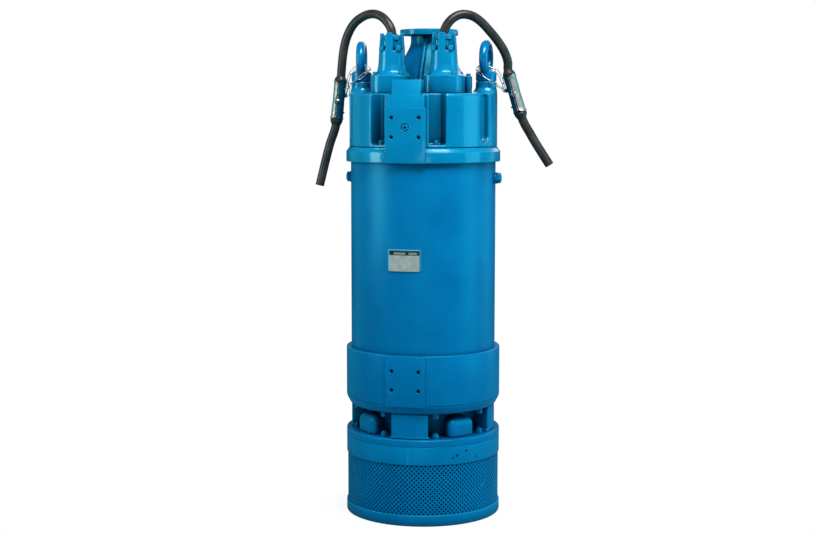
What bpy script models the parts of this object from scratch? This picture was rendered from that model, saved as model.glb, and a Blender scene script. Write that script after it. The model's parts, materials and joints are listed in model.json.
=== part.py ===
"""Tall two-stage submersible drainage pump, standing on its strainer.

Metres, +Z up. The origin is on the floor at the middle of the base. The mounting pads face -Y, the
lifting eyes stand on the X axis, and the discharge flange stands behind the middle, towards +Y.
Bearings are in degrees seen from above: 0 faces -Y, 90 faces +X.
"""
import math

import bmesh
import bpy
from mathutils import Matrix, Vector
from mathutils.geometry import interpolate_bezier

FIT = 0.0003                    # gap between two pieces that touch
WELD = 0.00005
BODY_SIDES = 64
ROUND_SIDES = 32
FLANGE_SIDES = 48
SMALL_SIDES = 16
SLEEVE_SIDES = 20

# Heights above the floor, from the base up
PLATE_TOP = 0.012
RIM_TOP = 0.045
SCREEN_TOP = 0.245
BAND_TOP = 0.3175
LEDGE_TOP = 0.3455
BULGE_TOP = 0.425
CASING_TOP = 0.447
COLLAR_BOTTOM = 0.481
COLLAR_TOP = 0.679
JACKET_TOP = 1.430
RING_TOP = 1.471
HEAD_BOTTOM = 1.4885
HEAD_TOP = 1.700
GLAND_BASE_TOP = 1.772
GLAND_TOP = 1.925
GLAND_SOCKET_FLOOR = 1.905
NECK_TOP = 1.9365
FLANGE_TOP = 1.961

# Radii of the body
RIM_RADIUS = 0.3135
SCREEN_RADIUS = 0.3085
BAND_RADIUS = 0.3125
CORE_RADIUS = 0.220
POST_RADIUS = 0.292
BULGE_RADIUS = 0.280
CASING_FLANGE_RADIUS = 0.298
CASING_RIM_RADIUS = 0.3105
JACKET_RADIUS = 0.2925
RING_RADIUS = 0.311
HEAD_RADIUS = 0.298

# Strainer
SHEET_THICKNESS = 0.004
BAND_THICKNESS = 0.012
RIM_THICKNESS = 0.014
BELL_RADIUS = 0.205
BELL_MOUTH_HEIGHT = 0.070
BELL_SIDE = [(BELL_RADIUS, 0.230), (0.150, 0.165), (0.130, 0.110), (0.150, BELL_MOUTH_HEIGHT)]

# Pump casing between the strainer and the motor
POST_HALF_ANGLE = 15.0
BULGE_HALF_ANGLE = 14.0
CASING_BOLT_RADIUS = 0.262
CASING_BOLT_WIDTH = 0.025
CASING_BOLT_HEIGHT = 0.022
CASING_BOLTS = 8
CASING_ROOT = 0.020             # how far the casing's solids start below the ledge before they are trimmed
BOLT_ROOT = 0.004               # how far a bolt head's solid runs into its seat
CLEAR = 0.1                     # how far a cutting solid runs past what it cuts

# Mounting pads on the front
PAD_FACE = -0.3135
PAD_HALF_WIDTH = 0.0803
LOWER_PAD_BACK = -0.2993
UPPER_PAD_BACK = -0.2853
LOWER_PAD_BOTTOM = 0.476
UPPER_PAD_TOP = 1.646
UPPER_WAIST_HALF_WIDTH = 0.0745
UPPER_WAIST_TOP = 1.694
UPPER_CREST_HALF_WIDTH = 0.0565
UPPER_CREST_TOP = 1.752
UPPER_CREST_BACK = -0.225
WAIST_FACE = -0.3095            # the waist's and the crest's fronts, which lean back
WAIST_TOP_FACE = -0.302
CREST_FACE = -0.2985
CREST_TOP_FACE = -0.284
PAD_HOLE_RADIUS = 0.0075
PAD_HOLE_DEPTH = 0.013
PAD_HOLE_HALF_SPAN = 0.054
LOWER_HOLE_HEIGHTS = (0.543, 0.618)
UPPER_HOLE_HEIGHTS = (1.531, 1.606)
PAD_PLUG_HEIGHT = 1.5685
PAD_PLUG_RADIUS = 0.0135
PAD_PLUG_RECESS = 0.016

# Nameplate and side plugs on the jacket
NAMEPLATE_WIDTH = 0.130
NAMEPLATE_BOTTOM = 1.0097
NAMEPLATE_TOP = 1.0957
NAMEPLATE_THICKNESS = 0.0012
SIDE_PLUG_HEIGHT = 1.364
SIDE_PLUG_BOSS_RADIUS = 0.0225
SIDE_PLUG_BOSS_END = 0.303
SIDE_PLUG_END = 0.320
SIDE_PLUG_WIDTH = 0.036

# Head casting
POCKET_BEARING = 23.8
POCKET_HALF_ANGLE = 6.4
POCKET_RADIUS = 0.238
POCKET_FLOOR = 1.5006
POCKET_CEILING = 1.688
SLOT_BEARING = 68.2
SLOT_WIDTH = 0.062
SLOT_BOTTOM = 1.506
SLOT_TOP = 1.688
SLOT_RADIUS = 0.274
POCKET_BOLT_RADIUS = 0.268
POCKET_BOLT_WIDTH = 0.020
POCKET_BOLT_HEIGHT = 0.018

# Cable glands
GLAND_X = 0.106
GLAND_Y = -0.094
GLAND_BASE_SIZE = 0.133
GLAND_BASE_CORNER = 0.020
GLAND_FOOT_RADIUS = 0.064
GLAND_TOP_RADIUS = 0.0475
GLAND_FOOT = [(0.057, 1.790), (0.0595, 1.781), (GLAND_FOOT_RADIUS, 1.774)]
GLAND_POCKET_FLOOR = 1.868
GLAND_POCKET_RADIUS = 0.019
GLAND_POCKET_OFFSET = 0.0465
GLAND_BOLT_WIDTH = 0.017
GLAND_BOLT_HEIGHT = 0.013
BASE_BOLT_OFFSET = 0.052
BASE_BOLT_WIDTH = 0.016
BASE_BOLT_HEIGHT = 0.010

# Discharge
DISCHARGE_Y = 0.103
DISCHARGE_BORE = 0.050
NECK_RADIUS = 0.0745
FLANGE_RADIUS = 0.118
FLANGE_HOLES = 8
FLANGE_HOLE_RADIUS = 0.009
FLANGE_HOLE_CIRCLE = 0.0965
BORE_FLOOR = 1.790
DISCHARGE_FLARE = [(NECK_RADIUS, 1.905), (0.080, 1.888), (0.095, 1.862), (0.115, 1.821), (0.143, 1.777),
                   (0.157, 1.752), (0.160, 1.738)]
RIB_THICKNESS = 0.016
# A rib's outline: outwards from the discharge's axis, and height above the floor
RIB_OUTLINE = [(0.0645, 1.9285), (0.0865, 1.9285), (0.0925, 1.890), (0.150, 1.790), (0.120, 1.780)]

# Lifting eyes
EYE_X = 0.261
EYE_HEIGHT = 1.838
EYE_RING_RADIUS = 0.057
EYE_BAR_RADIUS = 0.018
EYE_COLLAR_RADIUS = 0.040
EYE_COLLAR_TOP = 1.765
BOSS_TOP = 1.750
BOSS_RADIUS = 0.060
BOSS_FOOT = [(0.0375, 1.735), (0.042, 1.719), (0.051, 1.707)]
EYE_STEM = [(0.012, 1.792), (0.021, 1.776), (0.030, EYE_COLLAR_TOP)]
EYE_TURNS = {"left": math.radians(10.0), "right": 0.0}

# Oil plug that stands on the head
STUD_X = 0.192
STUD_Y = -0.034
STUD_RADIUS = 0.015
STUD_TOP = 1.779
STUD_CAP_RADIUS = 0.0092
STUD_CAP_HEIGHT = 0.011

# Power cables and what is on them
CABLE_RADIUS = 0.018
CABLE_STEP = 4 * CABLE_RADIUS
EXIT_TOP = 1.937
CLAMP_ENDS = {
    "left": (Vector((-0.3590, 0.043, 1.752)), Vector((-0.3765, 0.042, 1.597))),
    "right": (Vector((0.3425, 0.043, 1.773)), Vector((0.3885, 0.042, 1.625))),
}
CABLE_ARCS = {
    "left": [(-0.1330, -0.083, 1.988), (-0.1700, -0.063, 2.0125), (-0.2090, -0.040, 2.018),
             (-0.2500, -0.016, 2.0075), (-0.2920, 0.008, 1.9815), (-0.3190, 0.024, 1.946),
             (-0.3370, 0.034, 1.905), (-0.3470, 0.040, 1.862), (-0.3530, 0.042, 1.815)],
    "right": [(0.1250, -0.086, 1.981), (0.1620, -0.065, 2.0085), (0.2070, -0.038, 2.005),
              (0.2380, -0.018, 1.983), (0.2680, 0.002, 1.949), (0.3020, 0.022, 1.904),
              (0.3260, 0.036, 1.861), (0.3370, 0.042, 1.824)],
}
CABLE_TAILS = {
    "left": [(-0.4050, 0.039, 1.495), (-0.4474, 0.030, 1.3245)],
    "right": [(0.4350, 0.039, 1.532), (0.5099, 0.030, 1.4168)],
}
SLEEVE_RADIUS = 0.0212
SLEEVE_OVERHANG = 0.009
CABLE_STRAIGHT = 0.016          # straight cable beyond each end of its clamp
CLAMP_INNER_RADIUS = 0.0215
CLAMP_OUTER_RADIUS = 0.0258
CLAMP_SPLIT = 0.0015            # half the gap between the two halves of a clamp
CLAMP_EAR_REACH = 0.038
CLAMP_EAR_THICKNESS = 0.005
CLAMP_BOLT_RADIUS = 0.004
CLAMP_BOLT_OFFSET = 0.032
CLAMP_HEAD_RADIUS = 0.0055
CLAMP_HEAD_HEIGHT = 0.006
LUG_REACH = 0.041
LUG_HALF_THICKNESS = 0.004
LUG_HEIGHT = 0.020
LUG_OFFSET = 0.022              # above the clamp's middle
CHAIN_RADIUS = 0.003
CHAIN_STEP = 0.012
CHAIN_LUG_HOLE = 0.035          # from the clamp's axis to where the chain is hooked on
# The chain's loop round an eye's foot: outwards from the eye's axis, Y, and height above the floor
CHAIN_LOOP = [
    (0.046, -0.027, 1.738), (0.030, -0.046, 1.758), (0.003, -0.0515, 1.771), (-0.017, -0.044, 1.779),
    (-0.0225, -0.022, 1.783), (-0.0217, 0.0, 1.784), (-0.0225, 0.022, 1.783), (-0.017, 0.044, 1.780),
    (0.004, 0.052, 1.777), (0.034, 0.054, 1.766),
]

PALETTE = {
    "enamel": ((0.005, 0.214, 0.479, 1.0), 0.28, 0.0),
    "silver": ((0.62, 0.64, 0.66, 1.0), 0.30, 1.0),
    "zinc": ((0.55, 0.56, 0.57, 1.0), 0.35, 1.0),
    "rubber": ((0.018, 0.018, 0.020, 1.0), 0.55, 0.0),
    "plate": ((0.58, 0.60, 0.61, 1.0), 0.38, 0.8),
}
SIDES = {"left": -1, "right": 1}


def clear_scene():
    """Remove the objects that a new file starts with."""
    for item in list(bpy.data.objects):
        bpy.data.objects.remove(item, do_unlink=True)


def new_collection(name):
    """Return a new collection that the scene holds."""
    collection = bpy.data.collections.new(name)
    bpy.context.scene.collection.children.link(collection)
    return collection


def new_material(name, finish):
    """Return a Principled material in one of the palette's finishes."""
    colour, roughness, metallic = PALETTE[finish]
    material = bpy.data.materials.new(name)
    material.use_nodes = True
    shader = material.node_tree.nodes["Principled BSDF"]
    shader.inputs["Base Color"].default_value = colour
    shader.inputs["Roughness"].default_value = roughness
    shader.inputs["Metallic"].default_value = metallic
    material.diffuse_color = colour
    return material


def add_piece(name, mesh, finish, frame=Matrix.Identity(4)):
    """Add a piece of the pump with its own material."""
    piece = bpy.data.objects.new(name, mesh)
    piece.matrix_world = frame
    mesh.materials.append(new_material(f"{name}_{finish}", finish))
    PUMP.objects.link(piece)
    mesh.shade_smooth()
    mesh.set_sharp_from_angle(angle=math.radians(35.0))
    return piece


def add_tool(name, mesh, frame=Matrix.Identity(4)):
    """Add a hidden solid that a Boolean modifier uses."""
    tool = bpy.data.objects.new(name, mesh)
    tool.matrix_world = frame
    tool.hide_render = True
    tool.display_type = "WIRE"
    TOOLS.objects.link(tool)
    return tool


def boolean(piece, tool, operation):
    """Cut a piece with a tool, or join the tool to it."""
    step = piece.modifiers.new(tool.name, "BOOLEAN")
    step.operation = operation
    step.object = tool
    step.solver = "EXACT"


def bevel(piece, width, segments=2):
    """Round a piece's sharp edges."""
    step = piece.modifiers.new("rounded_edges", "BEVEL")
    step.width = width
    step.segments = segments
    step.limit_method = "ANGLE"
    step.angle_limit = math.radians(40.0)


def bearing(radius, degrees):
    """Return the X and Y of a point at a bearing."""
    angle = math.radians(degrees)
    return radius * math.sin(angle), -radius * math.cos(angle)


def arc(centre, radius, start, stop, steps):
    """Return points on an arc in a plane, from one angle to another in degrees."""
    points = []
    for step in range(steps + 1):
        angle = math.radians(start + (stop - start) * step / steps)
        points.append((centre[0] + radius * math.cos(angle), centre[1] + radius * math.sin(angle)))
    return points


def bmesh_to_mesh(name, work):
    """Turn a working mesh into a mesh and free it."""
    mesh = bpy.data.meshes.new(name)
    work.to_mesh(mesh)
    work.free()
    return mesh


def profile_mesh(name, profile, hollow=False):
    """Return a profile of (radius, height) points as edges; a hollow one closes on itself."""
    mesh = bpy.data.meshes.new(name)
    edges = [(i, i + 1) for i in range(len(profile) - 1)]
    if hollow:
        edges.append((len(profile) - 1, 0))
    mesh.from_pydata([(radius, 0.0, height) for radius, height in profile], edges, [])
    return mesh


def spin(piece, sides):
    """Turn a profile round its own Z axis."""
    step = piece.modifiers.new("turned", "SCREW")
    step.steps = sides
    step.render_steps = sides
    step.use_merge_vertices = True
    step.merge_threshold = WELD
    step.use_smooth_shade = True


def turned_piece(name, profile, finish, centre=(0.0, 0.0), sides=BODY_SIDES, hollow=False):
    """Add a turned piece, its profile listed down the outer side."""
    frame = Matrix.Translation((centre[0], centre[1], 0.0))
    piece = add_piece(name, profile_mesh(name, profile, hollow), finish, frame)
    spin(piece, sides)
    return piece


def turned_tool(name, profile):
    """Add a turned tool on the pump's axis, its profile listed down the outer side."""
    tool = add_tool(name, profile_mesh(name, profile))
    spin(tool, BODY_SIDES)
    return tool


def flat_mesh(name, outlines, thickness):
    """Return a closed mesh of flat outlines, extruded half its thickness each way."""
    curve = bpy.data.curves.new(name, "CURVE")
    curve.dimensions = "2D"
    curve.fill_mode = "BOTH"
    curve.extrude = thickness / 2
    for outline in outlines:
        spline = curve.splines.new("POLY")
        spline.points.add(len(outline) - 1)
        for point, (x, y) in zip(spline.points, outline):
            point.co = (x, y, 0.0, 1.0)
        spline.use_cyclic_u = True
    return curve_to_mesh(name, curve)


def curve_to_mesh(name, curve):
    """Return a curve's solid as a welded mesh, and remove the curve."""
    holder = bpy.data.objects.new(name, curve)
    bpy.context.scene.collection.objects.link(holder)
    depsgraph = bpy.context.evaluated_depsgraph_get()
    mesh = bpy.data.meshes.new_from_object(holder.evaluated_get(depsgraph))
    bpy.data.objects.remove(holder, do_unlink=True)
    work = bmesh.new()
    work.from_mesh(mesh)
    bmesh.ops.remove_doubles(work, verts=work.verts, dist=WELD)
    bmesh.ops.recalc_face_normals(work, faces=work.faces)
    work.to_mesh(mesh)
    work.free()
    mesh.name = name
    return mesh


def tube_mesh(name, points, radius, bevel_resolution):
    """Return a closed tube along points."""
    curve = bpy.data.curves.new(name, "CURVE")
    curve.dimensions = "3D"
    curve.bevel_depth = radius
    curve.bevel_resolution = bevel_resolution
    curve.use_fill_caps = True
    spline = curve.splines.new("POLY")
    spline.points.add(len(points) - 1)
    for point, place in zip(spline.points, points):
        point.co = (*place, 1.0)
    return curve_to_mesh(name, curve)


def upright(bottom, top):
    """Return the frame of a flat outline seen from above, between two heights."""
    return Matrix.Translation((0.0, 0.0, (bottom + top) / 2))


def across(x):
    """Return the frame of a side outline in Y and Z, centred on X."""
    turn = Matrix(((0, 0, 1), (1, 0, 0), (0, 1, 0))).to_4x4()
    return Matrix.Translation((x, 0.0, 0.0)) @ turn


def facing(degrees, radius):
    """Return the frame of an outline that faces outwards at a bearing: X is the tangent, Y is up."""
    x, y = bearing(radius, degrees)
    outward = Vector(bearing(1.0, degrees)).to_3d()
    tangent = Vector((0.0, 0.0, 1.0)).cross(outward)
    turn = Matrix((tangent, (0.0, 0.0, 1.0), outward)).transposed().to_4x4()
    return Matrix.Translation((x, y, 0.0)) @ turn


def sector(inner, outer, centre, half_angle, steps=4):
    """Return a flat ring sector's outline."""
    bearings = [centre - half_angle + 2 * half_angle * i / steps for i in range(steps + 1)]
    outside = [bearing(outer, degrees) for degrees in bearings]
    inside = [bearing(inner, degrees) for degrees in reversed(bearings)]
    return outside + inside


def add_cylinder(work, frame, radius, depth, sides):
    """Add a closed cylinder to a working mesh, centred on a frame's Z axis."""
    bmesh.ops.create_cone(work, cap_ends=True, segments=sides, radius1=radius, radius2=radius, depth=depth,
                          matrix=frame)


def add_block(work, centre, size):
    """Add a box to a working mesh."""
    bmesh.ops.create_cube(work, size=1.0, matrix=Matrix.Translation(centre) @ Matrix.Diagonal((*size, 1.0)))


def hexagon_radius(width):
    """Return the corner radius of a hexagon from its width across flats."""
    return width / math.sqrt(3.0)


def join_bolts(piece, name, places, seat, width, height):
    """Join upright hexagon heads to the piece that carries them; a negative height points down."""
    work = bmesh.new()
    root = math.copysign(BOLT_ROOT, -height)
    for x, y in places:
        middle = Matrix.Translation((x, y, seat + (height + root) / 2))
        add_cylinder(work, middle, hexagon_radius(width), abs(height - root), 6)
    boolean(piece, add_tool(name, bmesh_to_mesh(name, work)), "UNION")


def lying(x, y, z):
    """Return a frame at a point whose Z axis lies along -Y, towards the front."""
    return Matrix.Translation((x, y, z)) @ Matrix.Rotation(math.radians(90.0), 4, "X")


def smooth_route(points, lead_in, lead_out, spacing):
    """Return evenly spaced points on a smooth curve through a route.

    lead_in and lead_out are the directions in which the curve starts and stops.
    """
    places = [Vector(point) for point in points]
    tangents = [lead_in.normalized()]
    for before, here, after in zip(places, places[1:], places[2:]):
        into, out = here - before, after - here
        tangents.append((into.normalized() * out.length + out.normalized() * into.length).normalized())
    tangents.append(lead_out.normalized())
    dense = [places[0]]
    for i, (here, after) in enumerate(zip(places, places[1:])):
        reach = (after - here).length / 3
        handle, next_handle = here + tangents[i] * reach, after - tangents[i + 1] * reach
        dense += interpolate_bezier(here, handle, next_handle, after, 24)[1:]
    lengths = [0.0]
    for here, after in zip(dense, dense[1:]):
        lengths.append(lengths[-1] + (after - here).length)
    count = max(1, round(lengths[-1] / spacing))
    even = []
    index = 0
    for step in range(count + 1):
        target = lengths[-1] * step / count
        while index < len(dense) - 2 and lengths[index + 1] < target:
            index += 1
        share = (target - lengths[index]) / (lengths[index + 1] - lengths[index])
        even.append(dense[index].lerp(dense[index + 1], share))
    return even


def build_strainer():
    """Add the base plate, the screen's sheet, its top band and the suction bell inside."""
    chamfer = 0.004
    rim_inner = RIM_RADIUS - RIM_THICKNESS
    turned_piece("base_plate", [
        (0.0, PLATE_TOP), (rim_inner, PLATE_TOP), (rim_inner, RIM_TOP), (RIM_RADIUS - chamfer, RIM_TOP),
        (RIM_RADIUS, RIM_TOP - chamfer), (RIM_RADIUS, chamfer), (RIM_RADIUS - chamfer, 0.0), (0.0, 0.0),
    ], "enamel")
    turned_piece("strainer_screen", [
        (SCREEN_RADIUS, SCREEN_TOP), (SCREEN_RADIUS, RIM_TOP + FIT),
        (SCREEN_RADIUS - SHEET_THICKNESS, RIM_TOP + FIT), (SCREEN_RADIUS - SHEET_THICKNESS, SCREEN_TOP),
    ], "enamel", hollow=True)
    turned_piece("strainer_band", [
        (BAND_RADIUS, BAND_TOP), (BAND_RADIUS, SCREEN_TOP + FIT),
        (BAND_RADIUS - BAND_THICKNESS, SCREEN_TOP + FIT), (BAND_RADIUS - BAND_THICKNESS, BAND_TOP),
    ], "enamel", hollow=True)
    turned_piece("suction_bell", [
        (0.0, BAND_TOP), (BELL_RADIUS, BAND_TOP), *BELL_SIDE, (0.0, BELL_MOUTH_HEIGHT),
    ], "enamel", sides=ROUND_SIDES)


def build_pump_casing():
    """Add the ledge over the strainer, the casing with its posts and bulges, and the flange above."""
    chamfer = 0.003
    ledge = turned_piece("suction_flange", [
        (0.0, LEDGE_TOP), (BAND_RADIUS - chamfer, LEDGE_TOP), (BAND_RADIUS, LEDGE_TOP - chamfer),
        (BAND_RADIUS, BAND_TOP + FIT), (0.0, BAND_TOP + FIT),
    ], "enamel")
    below = LEDGE_TOP - CASING_ROOT
    top = CASING_TOP - FIT
    core = [(0.0, top), (CORE_RADIUS, top), (CORE_RADIUS, below), (0.0, below)]
    casing = turned_piece("pump_casing", core, "enamel", sides=ROUND_SIDES)
    inner = CORE_RADIUS - 0.02
    posts = [sector(inner, POST_RADIUS, 90.0 * i, POST_HALF_ANGLE) for i in range(4)]
    post_tool = add_tool("casing_posts", flat_mesh("casing_posts", posts, top - below), upright(below, top))
    boolean(casing, post_tool, "UNION")
    bulges = [sector(inner, BULGE_RADIUS, 45.0 + 90.0 * i, BULGE_HALF_ANGLE) for i in range(4)]
    bulge_tool = add_tool("casing_bulges", flat_mesh("casing_bulges", bulges, BULGE_TOP - below),
                          upright(below, BULGE_TOP))
    bevel(bulge_tool, 0.014, 3)
    boolean(casing, bulge_tool, "UNION")
    seat = LEDGE_TOP + FIT
    trim = turned_tool("casing_trim", [
        (0.0, seat), (BAND_RADIUS + CLEAR, seat), (BAND_RADIUS + CLEAR, seat - CLEAR), (0.0, seat - CLEAR),
    ])
    boolean(casing, trim, "DIFFERENCE")

    upper = turned_piece("casing_flange", [
        (0.0, COLLAR_BOTTOM - FIT), (CASING_RIM_RADIUS, COLLAR_BOTTOM - FIT),
        (CASING_RIM_RADIUS, COLLAR_BOTTOM - 0.006), (CASING_FLANGE_RADIUS, CASING_TOP + 0.004),
        (CASING_FLANGE_RADIUS - 0.004, CASING_TOP), (0.0, CASING_TOP),
    ], "enamel")
    pitch = 360.0 / CASING_BOLTS
    bolts = [bearing(CASING_BOLT_RADIUS, (i + 0.5) * pitch) for i in range(CASING_BOLTS)]
    join_bolts(ledge, "ledge_bolts", bolts, LEDGE_TOP, CASING_BOLT_WIDTH, CASING_BOLT_HEIGHT)
    join_bolts(upper, "flange_bolts", bolts, CASING_TOP, CASING_BOLT_WIDTH, -CASING_BOLT_HEIGHT)


def pad_cutter(name, back, bottom, top):
    """Add the tool that cuts the flat which a mounting pad sits on."""
    work = bmesh.new()
    add_block(work, (0.0, back + FIT - 0.1, (bottom + top) / 2),
              (2 * (PAD_HALF_WIDTH + FIT), 0.2, top - bottom + 2 * FIT))
    return add_tool(name, bmesh_to_mesh(name, work))


def drill_pad(pad, name, heights):
    """Cut the four threaded holes of a mounting pad."""
    work = bmesh.new()
    for height in heights:
        for x in (-PAD_HOLE_HALF_SPAN, PAD_HOLE_HALF_SPAN):
            add_cylinder(work, lying(x, PAD_FACE, height), PAD_HOLE_RADIUS, 2 * PAD_HOLE_DEPTH, SMALL_SIDES)
    boolean(pad, add_tool(name, bmesh_to_mesh(name, work)), "DIFFERENCE")


def side_cylinder(name, sign, near, far, radius, sides):
    """Return a cylinder mesh that stands out of the jacket's side along X."""
    work = bmesh.new()
    middle = Matrix.Translation((sign * (near + far) / 2, 0.0, SIDE_PLUG_HEIGHT))
    add_cylinder(work, middle @ Matrix.Rotation(math.radians(90.0), 4, "Y"), radius, far - near, sides)
    return bmesh_to_mesh(name, work)


def build_motor():
    """Add the jacket, the collar with its pad round the foot, the nameplate and the side plugs."""
    chamfer = 0.003
    turned_piece("motor_jacket", [
        (0.0, JACKET_TOP - FIT), (JACKET_RADIUS, JACKET_TOP - FIT), (JACKET_RADIUS, COLLAR_BOTTOM),
        (0.0, COLLAR_BOTTOM),
    ], "enamel")
    collar = turned_piece("lower_collar", [
        (BAND_RADIUS - chamfer, COLLAR_TOP), (BAND_RADIUS, COLLAR_TOP - chamfer),
        (BAND_RADIUS, COLLAR_BOTTOM),
        (JACKET_RADIUS + FIT, COLLAR_BOTTOM), (JACKET_RADIUS + FIT, COLLAR_TOP),
    ], "enamel", hollow=True)
    flat = pad_cutter("collar_flat", LOWER_PAD_BACK, COLLAR_BOTTOM - CLEAR, COLLAR_TOP + CLEAR)
    boolean(collar, flat, "DIFFERENCE")
    work = bmesh.new()
    add_block(work, (0.0, (PAD_FACE + LOWER_PAD_BACK) / 2, (LOWER_PAD_BOTTOM + COLLAR_TOP) / 2),
              (2 * PAD_HALF_WIDTH, LOWER_PAD_BACK - PAD_FACE, COLLAR_TOP - LOWER_PAD_BOTTOM))
    pad = add_piece("lower_pad", bmesh_to_mesh("lower_pad", work), "enamel")
    rim = CASING_RIM_RADIUS + FIT
    flange_clearance = turned_tool("pad_foot_trim", [
        (0.0, COLLAR_BOTTOM), (rim, COLLAR_BOTTOM), (rim, COLLAR_BOTTOM - CLEAR),
        (0.0, COLLAR_BOTTOM - CLEAR),
    ])
    boolean(pad, flange_clearance, "DIFFERENCE")
    drill_pad(pad, "lower_pad_holes", LOWER_HOLE_HEIGHTS)

    plate_inner = JACKET_RADIUS + FIT
    half_angle = math.degrees(NAMEPLATE_WIDTH / 2 / plate_inner)
    outline = sector(plate_inner, plate_inner + NAMEPLATE_THICKNESS, 0.0, half_angle, 8)
    add_piece("nameplate", flat_mesh("nameplate", [outline], NAMEPLATE_TOP - NAMEPLATE_BOTTOM), "plate",
              upright(NAMEPLATE_BOTTOM, NAMEPLATE_TOP))
    for side, sign in SIDES.items():
        boss_mesh = side_cylinder(f"side_plug_{side}", sign, JACKET_RADIUS + FIT, SIDE_PLUG_BOSS_END,
                                  SIDE_PLUG_BOSS_RADIUS, SMALL_SIDES)
        plug = add_piece(f"side_plug_{side}", boss_mesh, "enamel")
        name = f"side_plug_head_{side}"
        root = SIDE_PLUG_BOSS_END - BOLT_ROOT
        head_mesh = side_cylinder(name, sign, root, SIDE_PLUG_END, hexagon_radius(SIDE_PLUG_WIDTH), 6)
        boolean(plug, add_tool(name, head_mesh), "UNION")


def capsule(width, bottom, top):
    """Return an upright outline with round ends."""
    radius = width / 2
    return (arc((0.0, top - radius), radius, 0.0, 180.0, 8)
            + arc((0.0, bottom + radius), radius, 180.0, 360.0, 8))


def mirrored_bearings(degrees):
    """Return a bearing and its mirror images to the left and to the back."""
    return degrees, 180.0 - degrees, 180.0 + degrees, -degrees


def build_head():
    """Add the ring over the jacket and the head casting with its pockets and slots."""
    pad_flat = pad_cutter("head_flat", UPPER_PAD_BACK, JACKET_TOP - CLEAR, HEAD_TOP + CLEAR)
    ring = turned_piece("head_ring", [
        (0.0, HEAD_BOTTOM - FIT), (HEAD_RADIUS + 0.0015, HEAD_BOTTOM - FIT),
        (HEAD_RADIUS + 0.003, HEAD_BOTTOM - 0.005), (RING_RADIUS - 0.002, RING_TOP + 0.002),
        (RING_RADIUS, RING_TOP - 0.001), (RING_RADIUS, JACKET_TOP + 0.003),
        (RING_RADIUS - 0.003, JACKET_TOP), (0.0, JACKET_TOP),
    ], "enamel")
    boolean(ring, pad_flat, "DIFFERENCE")
    head = turned_piece("head_casting", [
        (0.0, HEAD_TOP), (HEAD_RADIUS - 0.013, HEAD_TOP), (HEAD_RADIUS - 0.006, HEAD_TOP - 0.003),
        (HEAD_RADIUS - 0.002, HEAD_TOP - 0.010), (HEAD_RADIUS, POCKET_FLOOR + 0.002),
        (HEAD_RADIUS, HEAD_BOTTOM), (0.0, HEAD_BOTTOM),
    ], "enamel")
    boolean(head, pad_flat, "DIFFERENCE")
    pocket_bearings = mirrored_bearings(POCKET_BEARING)
    beyond = HEAD_RADIUS + CLEAR / 2
    pockets = [sector(POCKET_RADIUS, beyond, centre, POCKET_HALF_ANGLE, 1) for centre in pocket_bearings]
    pocket_tool = add_tool("head_pockets", flat_mesh("head_pockets", pockets, POCKET_CEILING - POCKET_FLOOR),
                           upright(POCKET_FLOOR, POCKET_CEILING))
    boolean(head, pocket_tool, "DIFFERENCE")
    for i, centre in enumerate(mirrored_bearings(SLOT_BEARING)):
        name = f"head_slot_{i}"
        slot = flat_mesh(name, [capsule(SLOT_WIDTH, SLOT_BOTTOM, SLOT_TOP)], CLEAR)
        boolean(head, add_tool(name, slot, facing(centre, SLOT_RADIUS + CLEAR / 2)), "DIFFERENCE")
    bolts = [bearing(POCKET_BOLT_RADIUS, centre) for centre in pocket_bearings]
    join_bolts(head, "pocket_bolts", bolts, POCKET_FLOOR, POCKET_BOLT_WIDTH, POCKET_BOLT_HEIGHT)


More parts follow.
